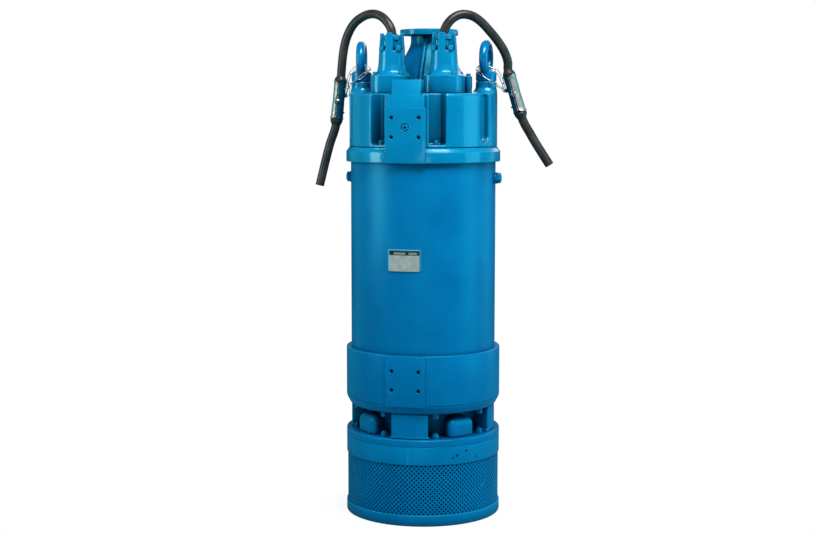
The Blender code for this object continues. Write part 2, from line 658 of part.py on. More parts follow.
def build_upper_pad():
    """Add the upper mounting pad, stepped back and narrower towards the top, and its plug."""
    waist_root, crest_root = UPPER_PAD_TOP - 0.02, UPPER_WAIST_TOP - 0.02
    waist_back, crest_back = UPPER_PAD_BACK - 0.0002, UPPER_PAD_BACK - 0.0004
    side_outlines = {
        "upper_pad": (PAD_HALF_WIDTH, [
            (PAD_FACE, JACKET_TOP), (UPPER_PAD_BACK, JACKET_TOP), (UPPER_PAD_BACK, UPPER_PAD_TOP),
            (PAD_FACE + 0.002, UPPER_PAD_TOP), (PAD_FACE, UPPER_PAD_TOP - 0.003)]),
        "pad_waist": (UPPER_WAIST_HALF_WIDTH, [
            (WAIST_FACE, waist_root), (waist_back, waist_root), (waist_back, UPPER_WAIST_TOP),
            (WAIST_TOP_FACE, UPPER_WAIST_TOP), (WAIST_FACE, UPPER_PAD_TOP)]),
        "pad_crest": (UPPER_CREST_HALF_WIDTH, [
            (CREST_FACE, crest_root), (crest_back, crest_root), (crest_back, HEAD_TOP + FIT),
            (UPPER_CREST_BACK, HEAD_TOP + FIT), (UPPER_CREST_BACK, UPPER_CREST_TOP),
            (CREST_TOP_FACE, UPPER_CREST_TOP), (CREST_FACE, UPPER_WAIST_TOP)]),
    }
    meshes = {}
    for name, (half_width, outline) in side_outlines.items():
        meshes[name] = flat_mesh(name, [outline], 2 * half_width)
    pad = add_piece("upper_pad", meshes["upper_pad"], "enamel", across(0.0))
    for name in ("pad_waist", "pad_crest"):
        boolean(pad, add_tool(name, meshes[name], across(0.0)), "UNION")
    drill_pad(pad, "upper_pad_holes", UPPER_HOLE_HEIGHTS)
    work = bmesh.new()
    mouth = lying(0.0, PAD_FACE, PAD_PLUG_HEIGHT)
    add_cylinder(work, mouth, PAD_PLUG_RECESS, 2 * PAD_HOLE_DEPTH, SMALL_SIDES)
    boolean(pad, add_tool("plug_recess", bmesh_to_mesh("plug_recess", work)), "DIFFERENCE")

    depth = PAD_HOLE_DEPTH - FIT - 0.002
    work = bmesh.new()
    middle = lying(0.0, PAD_FACE + 0.002 + depth / 2, PAD_PLUG_HEIGHT)
    add_cylinder(work, middle, PAD_PLUG_RADIUS, depth, SMALL_SIDES)
    plug = add_piece("pad_plug", bmesh_to_mesh("pad_plug", work), "enamel")
    work = bmesh.new()
    add_cylinder(work, lying(0.0, PAD_FACE, PAD_PLUG_HEIGHT), 0.007, 0.016, 6)
    boolean(plug, add_tool("plug_socket", bmesh_to_mesh("plug_socket", work)), "DIFFERENCE")


def gland_base_outline(x, grow=0.0):
    """Return the square foot of a gland, with round corners."""
    half = GLAND_BASE_SIZE / 2 + grow
    inset = half - GLAND_BASE_CORNER
    outline = []
    for i, (sx, sy) in enumerate(((1, 1), (-1, 1), (-1, -1), (1, -1))):
        corner = (x + sx * inset, GLAND_Y + sy * inset)
        outline += arc(corner, GLAND_BASE_CORNER, 90.0 * i, 90.0 * (i + 1), 4)
    return outline


def build_glands():
    """Add each cable gland: its square foot, the tapered tower with bolt pockets, and the bolts."""
    for side, sign in SIDES.items():
        x = sign * GLAND_X
        bottom, top = HEAD_TOP + FIT, GLAND_BASE_TOP - FIT
        base_mesh = flat_mesh(f"gland_base_{side}", [gland_base_outline(x)], top - bottom)
        base = add_piece(f"gland_base_{side}", base_mesh, "enamel", upright(bottom, top))
        corners = [(x + sx * BASE_BOLT_OFFSET, GLAND_Y + sy * BASE_BOLT_OFFSET)
                   for sx in (-1, 1) for sy in (-1, 1)]
        join_bolts(base, f"base_bolts_{side}", corners, top, BASE_BOLT_WIDTH, BASE_BOLT_HEIGHT)
        socket = CABLE_RADIUS + 0.0015
        tower = turned_piece(f"gland_tower_{side}", [
            (0.0, GLAND_SOCKET_FLOOR), (socket, GLAND_SOCKET_FLOOR), (socket, GLAND_TOP),
            (GLAND_TOP_RADIUS, GLAND_TOP), *GLAND_FOOT, (GLAND_FOOT_RADIUS, GLAND_BASE_TOP),
            (0.0, GLAND_BASE_TOP),
        ], "enamel", centre=(x, GLAND_Y), sides=ROUND_SIDES)
        pockets = bmesh.new()
        bolts = []
        for i in range(4):
            dx, dy = bearing(GLAND_POCKET_OFFSET, 45.0 + 90.0 * i)
            middle = Matrix.Translation((x + dx, GLAND_Y + dy, GLAND_POCKET_FLOOR + 0.05))
            add_cylinder(pockets, middle, GLAND_POCKET_RADIUS, 0.1, SMALL_SIDES)
            dx, dy = bearing(GLAND_POCKET_OFFSET - 0.006, 45.0 + 90.0 * i)
            bolts.append((x + dx, GLAND_Y + dy))
        name = f"gland_pockets_{side}"
        boolean(tower, add_tool(name, bmesh_to_mesh(name, pockets)), "DIFFERENCE")
        name = f"gland_bolts_{side}"
        join_bolts(tower, name, bolts, GLAND_POCKET_FLOOR, GLAND_BOLT_WIDTH, GLAND_BOLT_HEIGHT)


def build_discharge():
    """Add the discharge casing, flared down onto the head, and its flange."""
    casing = turned_piece("discharge_casing", [
        (0.0, BORE_FLOOR), (DISCHARGE_BORE, BORE_FLOOR), (DISCHARGE_BORE, NECK_TOP - FIT),
        (NECK_RADIUS, NECK_TOP - FIT), *DISCHARGE_FLARE, (DISCHARGE_FLARE[-1][0], HEAD_TOP + FIT),
        (0.0, HEAD_TOP + FIT),
    ], "enamel", centre=(0.0, DISCHARGE_Y), sides=FLANGE_SIDES)
    ribs = [[(DISCHARGE_Y + sign * reach, height) for reach, height in RIB_OUTLINE] for sign in (-1, 1)]
    boolean(casing, add_tool("neck_ribs", flat_mesh("neck_ribs", ribs, RIB_THICKNESS), across(0.0)), "UNION")
    feet = [gland_base_outline(sign * GLAND_X, FIT) for sign in SIDES.values()]
    room = add_tool("gland_foot_room", flat_mesh("gland_foot_room", feet, CLEAR),
                    upright(GLAND_BASE_TOP - CLEAR, GLAND_BASE_TOP))
    boolean(casing, room, "DIFFERENCE")
    flange = turned_piece("discharge_flange", [
        (FLANGE_RADIUS - 0.002, FLANGE_TOP), (FLANGE_RADIUS, FLANGE_TOP - 0.002), (FLANGE_RADIUS, NECK_TOP),
        (DISCHARGE_BORE, NECK_TOP), (DISCHARGE_BORE, FLANGE_TOP),
    ], "enamel", centre=(0.0, DISCHARGE_Y), sides=FLANGE_SIDES, hollow=True)
    work = bmesh.new()
    for i in range(FLANGE_HOLES):
        x, y = bearing(FLANGE_HOLE_CIRCLE, (i + 0.5) * 360.0 / FLANGE_HOLES)
        middle = Matrix.Translation((x, DISCHARGE_Y + y, (NECK_TOP + FLANGE_TOP) / 2))
        add_cylinder(work, middle, FLANGE_HOLE_RADIUS, 0.06, SMALL_SIDES)
    boolean(flange, add_tool("flange_holes", bmesh_to_mesh("flange_holes", work)), "DIFFERENCE")


def torus_mesh(name):
    """Return a lifting ring that stands in the YZ plane."""
    bpy.ops.mesh.primitive_torus_add(major_segments=28, minor_segments=12, major_radius=EYE_RING_RADIUS,
                                     minor_radius=EYE_BAR_RADIUS)
    holder = bpy.context.object
    mesh = holder.data
    bpy.data.objects.remove(holder, do_unlink=True)
    mesh.transform(Matrix.Rotation(math.radians(90.0), 4, "Y"))
    mesh.name = name
    return mesh


def build_lifting_eyes():
    """Add the two lifting eyes on their cast bosses, and the oil plug beside one of them."""
    for side, sign in SIDES.items():
        centre = (sign * EYE_X, 0.0)
        boss = turned_piece(f"eye_boss_{side}", [
            (0.0, BOSS_TOP - FIT), (0.035, BOSS_TOP - FIT), (0.0365, BOSS_TOP - 0.003), *BOSS_FOOT,
            (BOSS_RADIUS, HEAD_TOP + FIT), (0.0, HEAD_TOP + FIT),
        ], "enamel", centre=centre, sides=ROUND_SIDES)
        reach = HEAD_RADIUS - 0.001
        limit = turned_tool(f"boss_limit_{side}", [
            (0.0, BOSS_TOP + CLEAR), (reach, BOSS_TOP + CLEAR), (reach, HEAD_TOP - CLEAR),
            (0.0, HEAD_TOP - CLEAR)])
        boolean(boss, limit, "INTERSECT")
        eye = turned_piece(f"lifting_eye_{side}", [
            (0.0, EYE_STEM[0][1]), *EYE_STEM, (EYE_COLLAR_RADIUS - 0.002, EYE_COLLAR_TOP),
            (EYE_COLLAR_RADIUS, EYE_COLLAR_TOP - 0.003), (EYE_COLLAR_RADIUS, BOSS_TOP), (0.0, BOSS_TOP),
        ], "enamel", centre=centre, sides=24)
        spot = Matrix.Translation((sign * EYE_X, 0.0, EYE_HEIGHT)) @ Matrix.Rotation(EYE_TURNS[side], 4, "Z")
        boolean(eye, add_tool(f"eye_ring_{side}", torus_mesh(f"eye_ring_{side}"), spot), "UNION")
    shoulder = STUD_TOP - STUD_CAP_HEIGHT
    turned_piece("oil_plug", [
        (0.0, STUD_TOP), (STUD_CAP_RADIUS, STUD_TOP), (STUD_CAP_RADIUS, shoulder),
        (STUD_RADIUS - 0.001, shoulder), (STUD_RADIUS, shoulder - 0.002), (STUD_RADIUS, HEAD_TOP + FIT),
        (0.0, HEAD_TOP + FIT),
    ], "enamel", centre=(STUD_X, STUD_Y), sides=SMALL_SIDES)


def clamp_frame(side):
    """Return the frame at a clamp's middle: Z runs up its axis and X points away from the pump."""
    top, bottom = CLAMP_ENDS[side]
    up = (top - bottom).normalized()
    outward = Vector((SIDES[side], 0.0, 0.0))
    outward = (outward - up * outward.dot(up)).normalized()
    turn = Matrix((outward, up.cross(outward), up)).transposed().to_4x4()
    return Matrix.Translation((top + bottom) / 2) @ turn


def clamp_half_outline(sign):
    """Return the section of one half of a clamp, an arch with an ear at each foot."""
    start = math.degrees(math.asin((CLAMP_SPLIT + CLAMP_EAR_THICKNESS) / CLAMP_OUTER_RADIUS))
    outer = arc((0.0, 0.0), CLAMP_OUTER_RADIUS, -90.0 + start, 90.0 - start, 10)
    split = math.degrees(math.asin(CLAMP_SPLIT / CLAMP_INNER_RADIUS))
    inner = arc((0.0, 0.0), CLAMP_INNER_RADIUS, 90.0 - split, -90.0 + split, 10)
    ear = CLAMP_SPLIT + CLAMP_EAR_THICKNESS
    outline = outer + [(ear, CLAMP_EAR_REACH), (CLAMP_SPLIT, CLAMP_EAR_REACH)]
    outline += inner + [(CLAMP_SPLIT, -CLAMP_EAR_REACH), (ear, -CLAMP_EAR_REACH)]
    return [(sign * x, y) for x, y in outline]


def cable_points(side):
    """Return the points along a cable, from its gland, through its clamp, to its cut end."""
    top, bottom = CLAMP_ENDS[side]
    down = (bottom - top).normalized()
    entry, leave = top - down * CABLE_STRAIGHT, bottom + down * CABLE_STRAIGHT
    x = SIDES[side] * GLAND_X
    start, exit_point = Vector((x, GLAND_Y, GLAND_SOCKET_FLOOR + FIT)), Vector((x, GLAND_Y, EXIT_TOP))
    rise = exit_point - start
    tail = CABLE_TAILS[side]
    arch = smooth_route([exit_point, *CABLE_ARCS[side], entry], rise, down, CABLE_STEP)
    last = Vector(tail[-1]) - Vector(tail[-2])
    return [start] + arch + smooth_route([leave, *tail], down, last, CABLE_STEP)


def chain_points(side):
    """Return the points along a chain, from its clamp round the foot of the eye and back."""
    sign = SIDES[side]
    frame = clamp_frame(side)
    hook = CHAIN_RADIUS + FIT + LUG_HALF_THICKNESS
    lug_faces = [frame @ Vector((-CHAIN_LUG_HOLE, y, LUG_OFFSET)) for y in (-hook, hook)]
    near, far = sorted(lug_faces, key=lambda place: place.y)
    turn = Matrix.Rotation(EYE_TURNS[side], 4, "Z")
    loop = [Matrix.Translation((sign * EYE_X, 0.0, 0.0)) @ turn @ Vector((sign * out, y, z))
            for out, y, z in CHAIN_LOOP]
    lead_in = Vector((-sign * 0.4, -1.0, 0.8))
    lead_out = Vector((sign * 0.5, -0.6, -1.0))
    return smooth_route([near, *loop, far], lead_in, lead_out, CHAIN_STEP)


def build_clamp_bolt(name, frame):
    """Add one bolt through the ears of a clamp, its axis along the frame's Z."""
    grip = 2 * (CLAMP_SPLIT + CLAMP_EAR_THICKNESS + FIT)
    shank = bmesh.new()
    add_cylinder(shank, Matrix.Identity(4), CLAMP_BOLT_RADIUS, grip + 0.004, 12)
    bolt = add_piece(name, bmesh_to_mesh(name, shank), "zinc", frame)
    heads = bmesh.new()
    for end in (-1, 1):
        offset = Matrix.Translation((0.0, 0.0, end * (grip + CLAMP_HEAD_HEIGHT) / 2))
        add_cylinder(heads, offset, CLAMP_HEAD_RADIUS, CLAMP_HEAD_HEIGHT, 6)
    boolean(bolt, add_tool(f"{name}_heads", bmesh_to_mesh(f"{name}_heads", heads), frame), "UNION")


def chain_lug(side, frame):
    """Return the tool that adds the lug which the chain is hooked on."""
    lug = bmesh.new()
    reach = LUG_REACH - CLAMP_OUTER_RADIUS + 0.002
    centre = (reach / 2 - LUG_REACH, 0.0, LUG_OFFSET)
    add_block(lug, centre, (reach, 2 * LUG_HALF_THICKNESS, LUG_HEIGHT))
    return add_tool(f"clamp_lug_{side}", bmesh_to_mesh(f"clamp_lug_{side}", lug), frame)


def build_cables():
    """Add each power cable with its clamp, the sleeve in it, the bolts and the chain to the eye."""
    for side, sign in SIDES.items():
        frame = clamp_frame(side)
        top, bottom = CLAMP_ENDS[side]
        length = (top - bottom).length
        add_piece(f"cable_{side}", tube_mesh(f"cable_{side}", cable_points(side), CABLE_RADIUS, 4), "rubber")

        overall = length / 2 + SLEEVE_OVERHANG
        section = [(SLEEVE_RADIUS, overall), (SLEEVE_RADIUS, -overall), (CABLE_RADIUS + FIT, -overall),
                   (CABLE_RADIUS + FIT, overall)]
        sleeve_mesh = profile_mesh(f"clamp_sleeve_{side}", section, hollow=True)
        spin(add_piece(f"clamp_sleeve_{side}", sleeve_mesh, "rubber", frame), SLEEVE_SIDES)

        holes = bmesh.new()
        for end, y in (("front", -CLAMP_BOLT_OFFSET), ("back", CLAMP_BOLT_OFFSET)):
            middle = frame @ Matrix.Translation((0.0, y, 0.0)) @ Matrix.Rotation(math.radians(90.0), 4, "Y")
            add_cylinder(holes, frame.inverted() @ middle, CLAMP_BOLT_RADIUS + 2 * FIT, 0.03, 12)
            build_clamp_bolt(f"clamp_bolt_{end}_{side}", middle)
        hole_tool = add_tool(f"clamp_holes_{side}", bmesh_to_mesh(f"clamp_holes_{side}", holes), frame)
        halves = {"outer": (1, "silver"), "inner": (-1, "enamel")}
        for half, (way, finish) in halves.items():
            name = f"clamp_{half}_{side}"
            piece = add_piece(name, flat_mesh(name, [clamp_half_outline(way)], length), finish, frame)
            if half == "inner":
                boolean(piece, chain_lug(side, frame), "UNION")
            boolean(piece, hole_tool, "DIFFERENCE")
        add_piece(f"chain_{side}", tube_mesh(f"chain_{side}", chain_points(side), CHAIN_RADIUS, 2), "zinc")


clear_scene()
PUMP = new_collection("submersible_pump")
TOOLS = new_collection("tools")
build_strainer()
build_pump_casing()
build_motor()
build_head()
build_upper_pad()
build_glands()
build_discharge()
build_lifting_eyes()
build_cables()
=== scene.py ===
"""The finished look of a tall two-stage submersible drainage pump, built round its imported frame.

Metres, +Z up. The origin is on the floor at the middle of the base, the mounting pads face -Y and the
lifting eyes stand on the X axis. Bearings are in degrees seen from above: 0 faces -Y and 90 faces +X.
"""
import json
import logging
import math
from collections.abc import Callable, Iterator, Sequence
from contextlib import contextmanager
from dataclasses import dataclass
from enum import Enum
from itertools import pairwise
from typing import Any, ClassVar

import bmesh
import bpy
from mathutils import Matrix, Vector
from mathutils.geometry import interpolate_bezier

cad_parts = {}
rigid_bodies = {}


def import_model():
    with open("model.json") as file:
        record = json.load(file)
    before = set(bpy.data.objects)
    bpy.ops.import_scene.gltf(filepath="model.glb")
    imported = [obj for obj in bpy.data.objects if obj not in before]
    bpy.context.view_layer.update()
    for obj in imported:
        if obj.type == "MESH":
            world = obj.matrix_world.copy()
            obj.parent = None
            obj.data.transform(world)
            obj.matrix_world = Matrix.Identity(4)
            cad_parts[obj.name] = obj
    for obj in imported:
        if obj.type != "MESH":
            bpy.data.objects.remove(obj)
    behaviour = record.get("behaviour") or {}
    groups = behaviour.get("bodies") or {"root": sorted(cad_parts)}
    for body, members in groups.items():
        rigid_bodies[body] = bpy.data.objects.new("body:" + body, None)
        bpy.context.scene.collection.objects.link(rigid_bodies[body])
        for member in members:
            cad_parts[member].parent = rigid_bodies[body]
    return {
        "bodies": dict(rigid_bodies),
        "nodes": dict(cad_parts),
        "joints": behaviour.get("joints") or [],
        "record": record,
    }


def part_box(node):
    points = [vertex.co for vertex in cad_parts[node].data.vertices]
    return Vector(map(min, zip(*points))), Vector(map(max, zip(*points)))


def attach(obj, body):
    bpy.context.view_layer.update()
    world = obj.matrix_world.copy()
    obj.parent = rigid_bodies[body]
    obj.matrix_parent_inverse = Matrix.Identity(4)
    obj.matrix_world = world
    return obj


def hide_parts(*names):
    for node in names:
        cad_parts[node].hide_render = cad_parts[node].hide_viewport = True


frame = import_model()

LOG = logging.getLogger("pump")
BODY = "root"
WELD = 0.00002                  # points nearer than this are one point
SEED = 0.001                    # the small plane that an outline is drawn from
FIT = 0.0003                    # gap between two pieces that touch
SIDES = 160                     # round the pump's body
SMALL_SIDES = 48                # round its smaller turned pieces
CORNER_SHARE = 0.49             # how much of a profile's side one rounded corner may take
CURVE_STEPS = 24                # between two places of a smooth route
PAD_HALF_WIDTH = 0.0803
PAD_ROUNDING = 0.0022
HOLE_SPAN = 0.054               # from the middle of a pad to its holes
EYE_X = 0.257
GLAND_X = 0.106
GLAND_Y = -0.094
CUT_TOP = 2.0                   # above all that is drilled from above

Point = tuple[float, float]
Place = tuple[float, float, float]
Colour = tuple[float, float, float, float]


class Side(Enum):
    """The two sides of the pump, with the sign of X on each."""

    LEFT = -1
    RIGHT = 1

    def of(self, stem: str) -> str:
        """Return the name of a piece or node on this side."""
        return f"{stem}_{self.name.lower()}"


class Slot(Enum):
    """The record's material slots."""

    ENAMEL = "enamel"
    SILVER = "silver"
    ZINC = "zinc"
    RUBBER = "rubber"
    PLATE = "plate"


class Part(Enum):
    """What a selection on the bench takes, with bmesh's name for it."""

    VERT = "verts"
    EDGE = "edges"
    FACE = "faces"


class Operation(Enum):
    """What one solid does to another."""

    CUT = "DIFFERENCE"
    KEEP = "INTERSECT"
    ADD = "UNION"


def bearing(radius: float, degrees: float) -> Point:
    """Return the X and Y of a point at a bearing."""
    angle = math.radians(degrees)
    return radius * math.sin(angle), -radius * math.cos(angle)


def facing(degrees: float, radius: float = 0.0, height: float = 0.0) -> Matrix:
    """Return a frame at a bearing whose -Y points away from the pump's axis and whose Z is up."""
    return placed(*bearing(radius, degrees), height, math.radians(degrees))


def placed(x: float, y: float, z: float, angle: float = 0.0, axis: str = "Z") -> Matrix:
    """Return a frame at a place, turned by radians round one axis."""
    return Matrix.Translation((x, y, z)) @ Matrix.Rotation(angle, 4, axis)


UPSIDE_DOWN = placed(0.0, 0.0, 0.0, math.pi, "X")


def four_ways(degrees: float) -> tuple[float, float, float, float]:
    """Return a bearing and its images to the left and to the back."""
    return degrees, 180.0 - degrees, 180.0 + degrees, -degrees


def eye_frame(side: Side) -> Matrix:
    """Return the frame of a lifting eye's axis; the left eye stands a little turned."""
    return placed(side.value * EYE_X, 0.0, 0.0, math.radians(10.0 if side is Side.LEFT else 0.0))


def round_corner(before: Vector, corner: Vector, after: Vector, radius: float, steps: int) -> list[Point]:
    """Return the points of an arc that rounds one corner of a profile.

    Args:
        before: The profile's point before the corner.
        corner: The sharp corner.
        after: The point after it.
        radius: The arc's radius.
        steps: How many straight pieces the arc has.

    Returns:
        The arc's points as (radius, height).
    """
    back, ahead = (before - corner).normalized(), (after - corner).normalized()
    half = back.angle(ahead) / 2
    shorter = min((before - corner).length, (after - corner).length)
    reach = min(radius / math.tan(half), CORNER_SHARE * shorter)
    radius = reach * math.tan(half)
    centre = corner + (back + ahead).normalized() * (radius / math.sin(half))
    start, stop = corner + back * reach - centre, corner + ahead * reach - centre
    points = []
    for step in range(steps + 1):
        spoke = start.slerp(stop, step / steps)
        points.append(tuple(centre + spoke * radius))
    return points


def rounded(*corners: Sequence[float], steps: int = 4) -> list[Point]:
    """Return a profile with rounded corners.

    Args:
        corners: The radius and height of each corner, with the radius that rounds it unless it is sharp.
        steps: How many straight pieces each arc has.

    Returns:
        The profile's points as (radius, height).
    """
    profile = []
    for i, (x, y, *radius) in enumerate(corners):
        if not any(radius):
            profile.append((x, y))
            continue
        before, after = Vector(corners[i - 1][:2]), Vector(corners[(i + 1) % len(corners)][:2])
        profile += round_corner(before, Vector((x, y)), after, *radius, steps)
    return profile


def disc(radius: float, bottom: float, top: float, low_edge: float, high_edge: float) -> list[Point]:
    """Return the profile of a solid disc with rounded edges."""
    return rounded((0.0, top), (radius, top, high_edge), (radius, bottom, low_edge), (0.0, bottom))


def hoop(inner: float, outer: float, bottom: float, top: float, low_edge: float = 0.0,
         high_edge: float = 0.0) -> list[Point]:
    """Return the closed profile of a hoop, its outer edges rounded or sharp."""
    start = (inner, bottom)
    return rounded(start, (outer, bottom, low_edge), (outer, top, high_edge), (inner, top), start)


def smooth_route(points: Sequence[Sequence[float]], lead_in: Vector, lead_out: Vector,
                 spacing: float) -> list[Vector]:
    """Return evenly spaced points on a smooth curve through a route.

    Args:
        points: The places that the curve passes through.
        lead_in: The direction in which it starts.
        lead_out: The direction in which it stops.
        spacing: The distance between the points that are returned.

    Returns:
        The points along the curve, its ends among them.
    """
    places = [Vector(point) for point in points]
    tangents = [lead_in.normalized()]
    for before, here, after in zip(places, places[1:], places[2:]):
        into, out = here - before, after - here
        tangents.append((into.normalized() * out.length + out.normalized() * into.length).normalized())
    tangents.append(lead_out.normalized())
    dense = [places[0]]
    for i, (here, after) in enumerate(pairwise(places)):
        reach = (after - here).length / 3
        handle, next_handle = here + tangents[i] * reach, after - tangents[i + 1] * reach
        dense += interpolate_bezier(here, handle, next_handle, after, CURVE_STEPS)[1:]
    lengths = [0.0]
    for here, after in pairwise(dense):
        lengths.append(lengths[-1] + (after - here).length)
    count = max(1, round(lengths[-1] / spacing))
    even = []
    index = 0
    for step in range(count + 1):
        target = lengths[-1] * step / count
        while index < len(dense) - 2 and lengths[index + 1] < target:
            index += 1
        share = (target - lengths[index]) / (lengths[index + 1] - lengths[index])
        even.append(dense[index].lerp(dense[index + 1], share))
    return even


def route_length(points: Sequence[Vector]) -> float:
    """Return the length of a line through points."""
    return sum((after - here).length for here, after in pairwise(points))


class Value:
    """A number in a material. Python's operators on it add Math nodes."""

    def __init__(self, graph: "Graph", socket: bpy.types.NodeSocket) -> None:
        """Wrap an output socket.

        Args:
            graph: The graph that the socket is in.
            socket: The output that gives the number.
        """
        self.graph = graph
        self.socket = socket

    def math(self, operation: str, *others: Any, clamped: bool = False) -> "Value":
        """Return this number put through a Math node, with the others after it."""
        return self.graph.math(operation, self, *others, clamped=clamped)

    def __add__(self, other: Any) -> "Value":
        """Add."""
        return self.math("ADD", other)

    __radd__ = __add__

    def __sub__(self, other: Any) -> "Value":
        """Subtract."""
        return self.math("SUBTRACT", other)

    def __rsub__(self, other: Any) -> "Value":
        """Subtract this number from another."""
        return self.graph.math("SUBTRACT", other, self)

    def __mul__(self, other: Any) -> "Value":
        """Multiply."""
        return self.math("MULTIPLY", other)

    def above(self, limit: Any) -> "Value":
        """Return 1 where the number is over a limit and 0 elsewhere."""
        return self.math("GREATER_THAN", limit)

    def below(self, limit: Any) -> "Value":
        """Return 1 where the number is under a limit and 0 elsewhere."""
        return self.math("LESS_THAN", limit)

    def between(self, low: float, high: float) -> "Value":
        """Return 1 where the number is between two limits and 0 elsewhere."""
        return self.above(low) * self.below(high)

    def ramp(self, low: float, high: float) -> "Value":
        """Return 0 at one limit and 1 at the other, and hold it beyond them."""
        return ((self - low) * (1.0 / (high - low))).math("ADD", 0.0, clamped=True)


class Graph:
    """The nodes of one material or world, with one method that adds any of them."""

    def __init__(self, tree: bpy.types.NodeTree) -> None:
        """Start from an empty tree."""
        self.tree = tree
        tree.nodes.clear()

    def node(self, kind: str, settings: dict[str, Any] | None = None,
             sockets: dict[Any, Any] | None = None) -> bpy.types.Node:
        """Add a node.

        Args:
            kind: The node's type after ShaderNode.
            settings: Its own properties, which are set first.
            sockets: The value or link of each input, by name or number.

        Returns:
            The node.
        """
        node = self.tree.nodes.new("ShaderNode" + kind)
        for name, value in (settings or {}).items():
            setattr(node, name, value)
        for key, value in (sockets or {}).items():
            value = value.socket if isinstance(value, Value) else value
            if isinstance(value, bpy.types.NodeSocket):
                self.tree.links.new(value, node.inputs[key])
            else:
                node.inputs[key].default_value = value
        return node

    def math(self, operation: str, *numbers: Any, clamped: bool = False) -> Value:
        """Return the result of a Math node."""
        node = self.node("Math", {"operation": operation, "use_clamp": clamped}, dict(enumerate(numbers)))
        return Value(self, node.outputs[0])

    def mix(self, factor: Any, first: Any, second: Any) -> bpy.types.NodeSocket:
        """Return a colour between two others."""
        node = self.node("Mix", {"data_type": "RGBA"}, {0: factor, 6: first, 7: second})
        return node.outputs[2]

    def place(self, scale: Place = (1.0, 1.0, 1.0)) -> bpy.types.NodeSocket:
        """Return the place on the object, in metres, scaled."""
        spot = self.node("TexCoord").outputs["Object"]
        return self.node("Mapping", None, {"Vector": spot, "Scale": scale}).outputs["Vector"]

    def noise(self, scale: float, detail: float = 2.0, rough: float = 0.5,
              place: bpy.types.NodeSocket | None = None) -> Value:
        """Return noise from 0 to 1.

        Args:
            scale: About how many waves there are to the metre.
            detail: How many finer layers are added.
            rough: How strong each finer layer is.
            place: Where it is read, on the object unless it is given.

        Returns:
            The noise.
        """
        sockets = {"Vector": place or self.place(), "Scale": scale, "Detail": detail, "Roughness": rough}
        return Value(self, self.node("TexNoise", None, sockets).outputs["Fac"])

    def axes(self) -> tuple[Value, Value, Value]:
        """Return the X, Y and Z of the place on the object as numbers."""
        node = self.node("SeparateXYZ", None, {0: self.place()})
        return tuple(Value(self, output) for output in node.outputs)

    def near(self, spot: Place, reach: float) -> Value:
        """Return 1 at a spot on the object, falling to 0 at a reach from it."""
        node = self.node("VectorMath", {"operation": "DISTANCE"}, {0: self.place(), 1: spot})
        return 1.0 - Value(self, node.outputs["Value"]).ramp(0.0, reach)

    def openness(self, reach: float) -> Value:
        """Return how open the surface lies: 1 in the open and 0 deep in a recess."""
        node = self.node("AmbientOcclusion", {"samples": 8}, {"Distance": reach})
        return Value(self, node.outputs["AO"])

    def bump(self, height: Value) -> bpy.types.NodeSocket:
        """Return a normal that follows a height in metres."""
        return self.node("Bump", None, {"Strength": 1.0, "Distance": 1.0, "Height": height}).outputs["Normal"]


class Finish:
    """A finish that makes its own material."""

    name: str

    def material(self) -> bpy.types.Material:
        """Return the finish as a new material."""
        material = bpy.data.materials.new(self.name)
        material.use_nodes = True
        graph = Graph(material.node_tree)
        shader = graph.node("BsdfPrincipled", None, self.sockets(graph))
        graph.node("OutputMaterial", None, {"Surface": shader.outputs["BSDF"]})
        return material

    def sockets(self, graph: Graph) -> dict[str, Any]:
        """Return what each socket of the Principled shader takes."""
        raise NotImplementedError


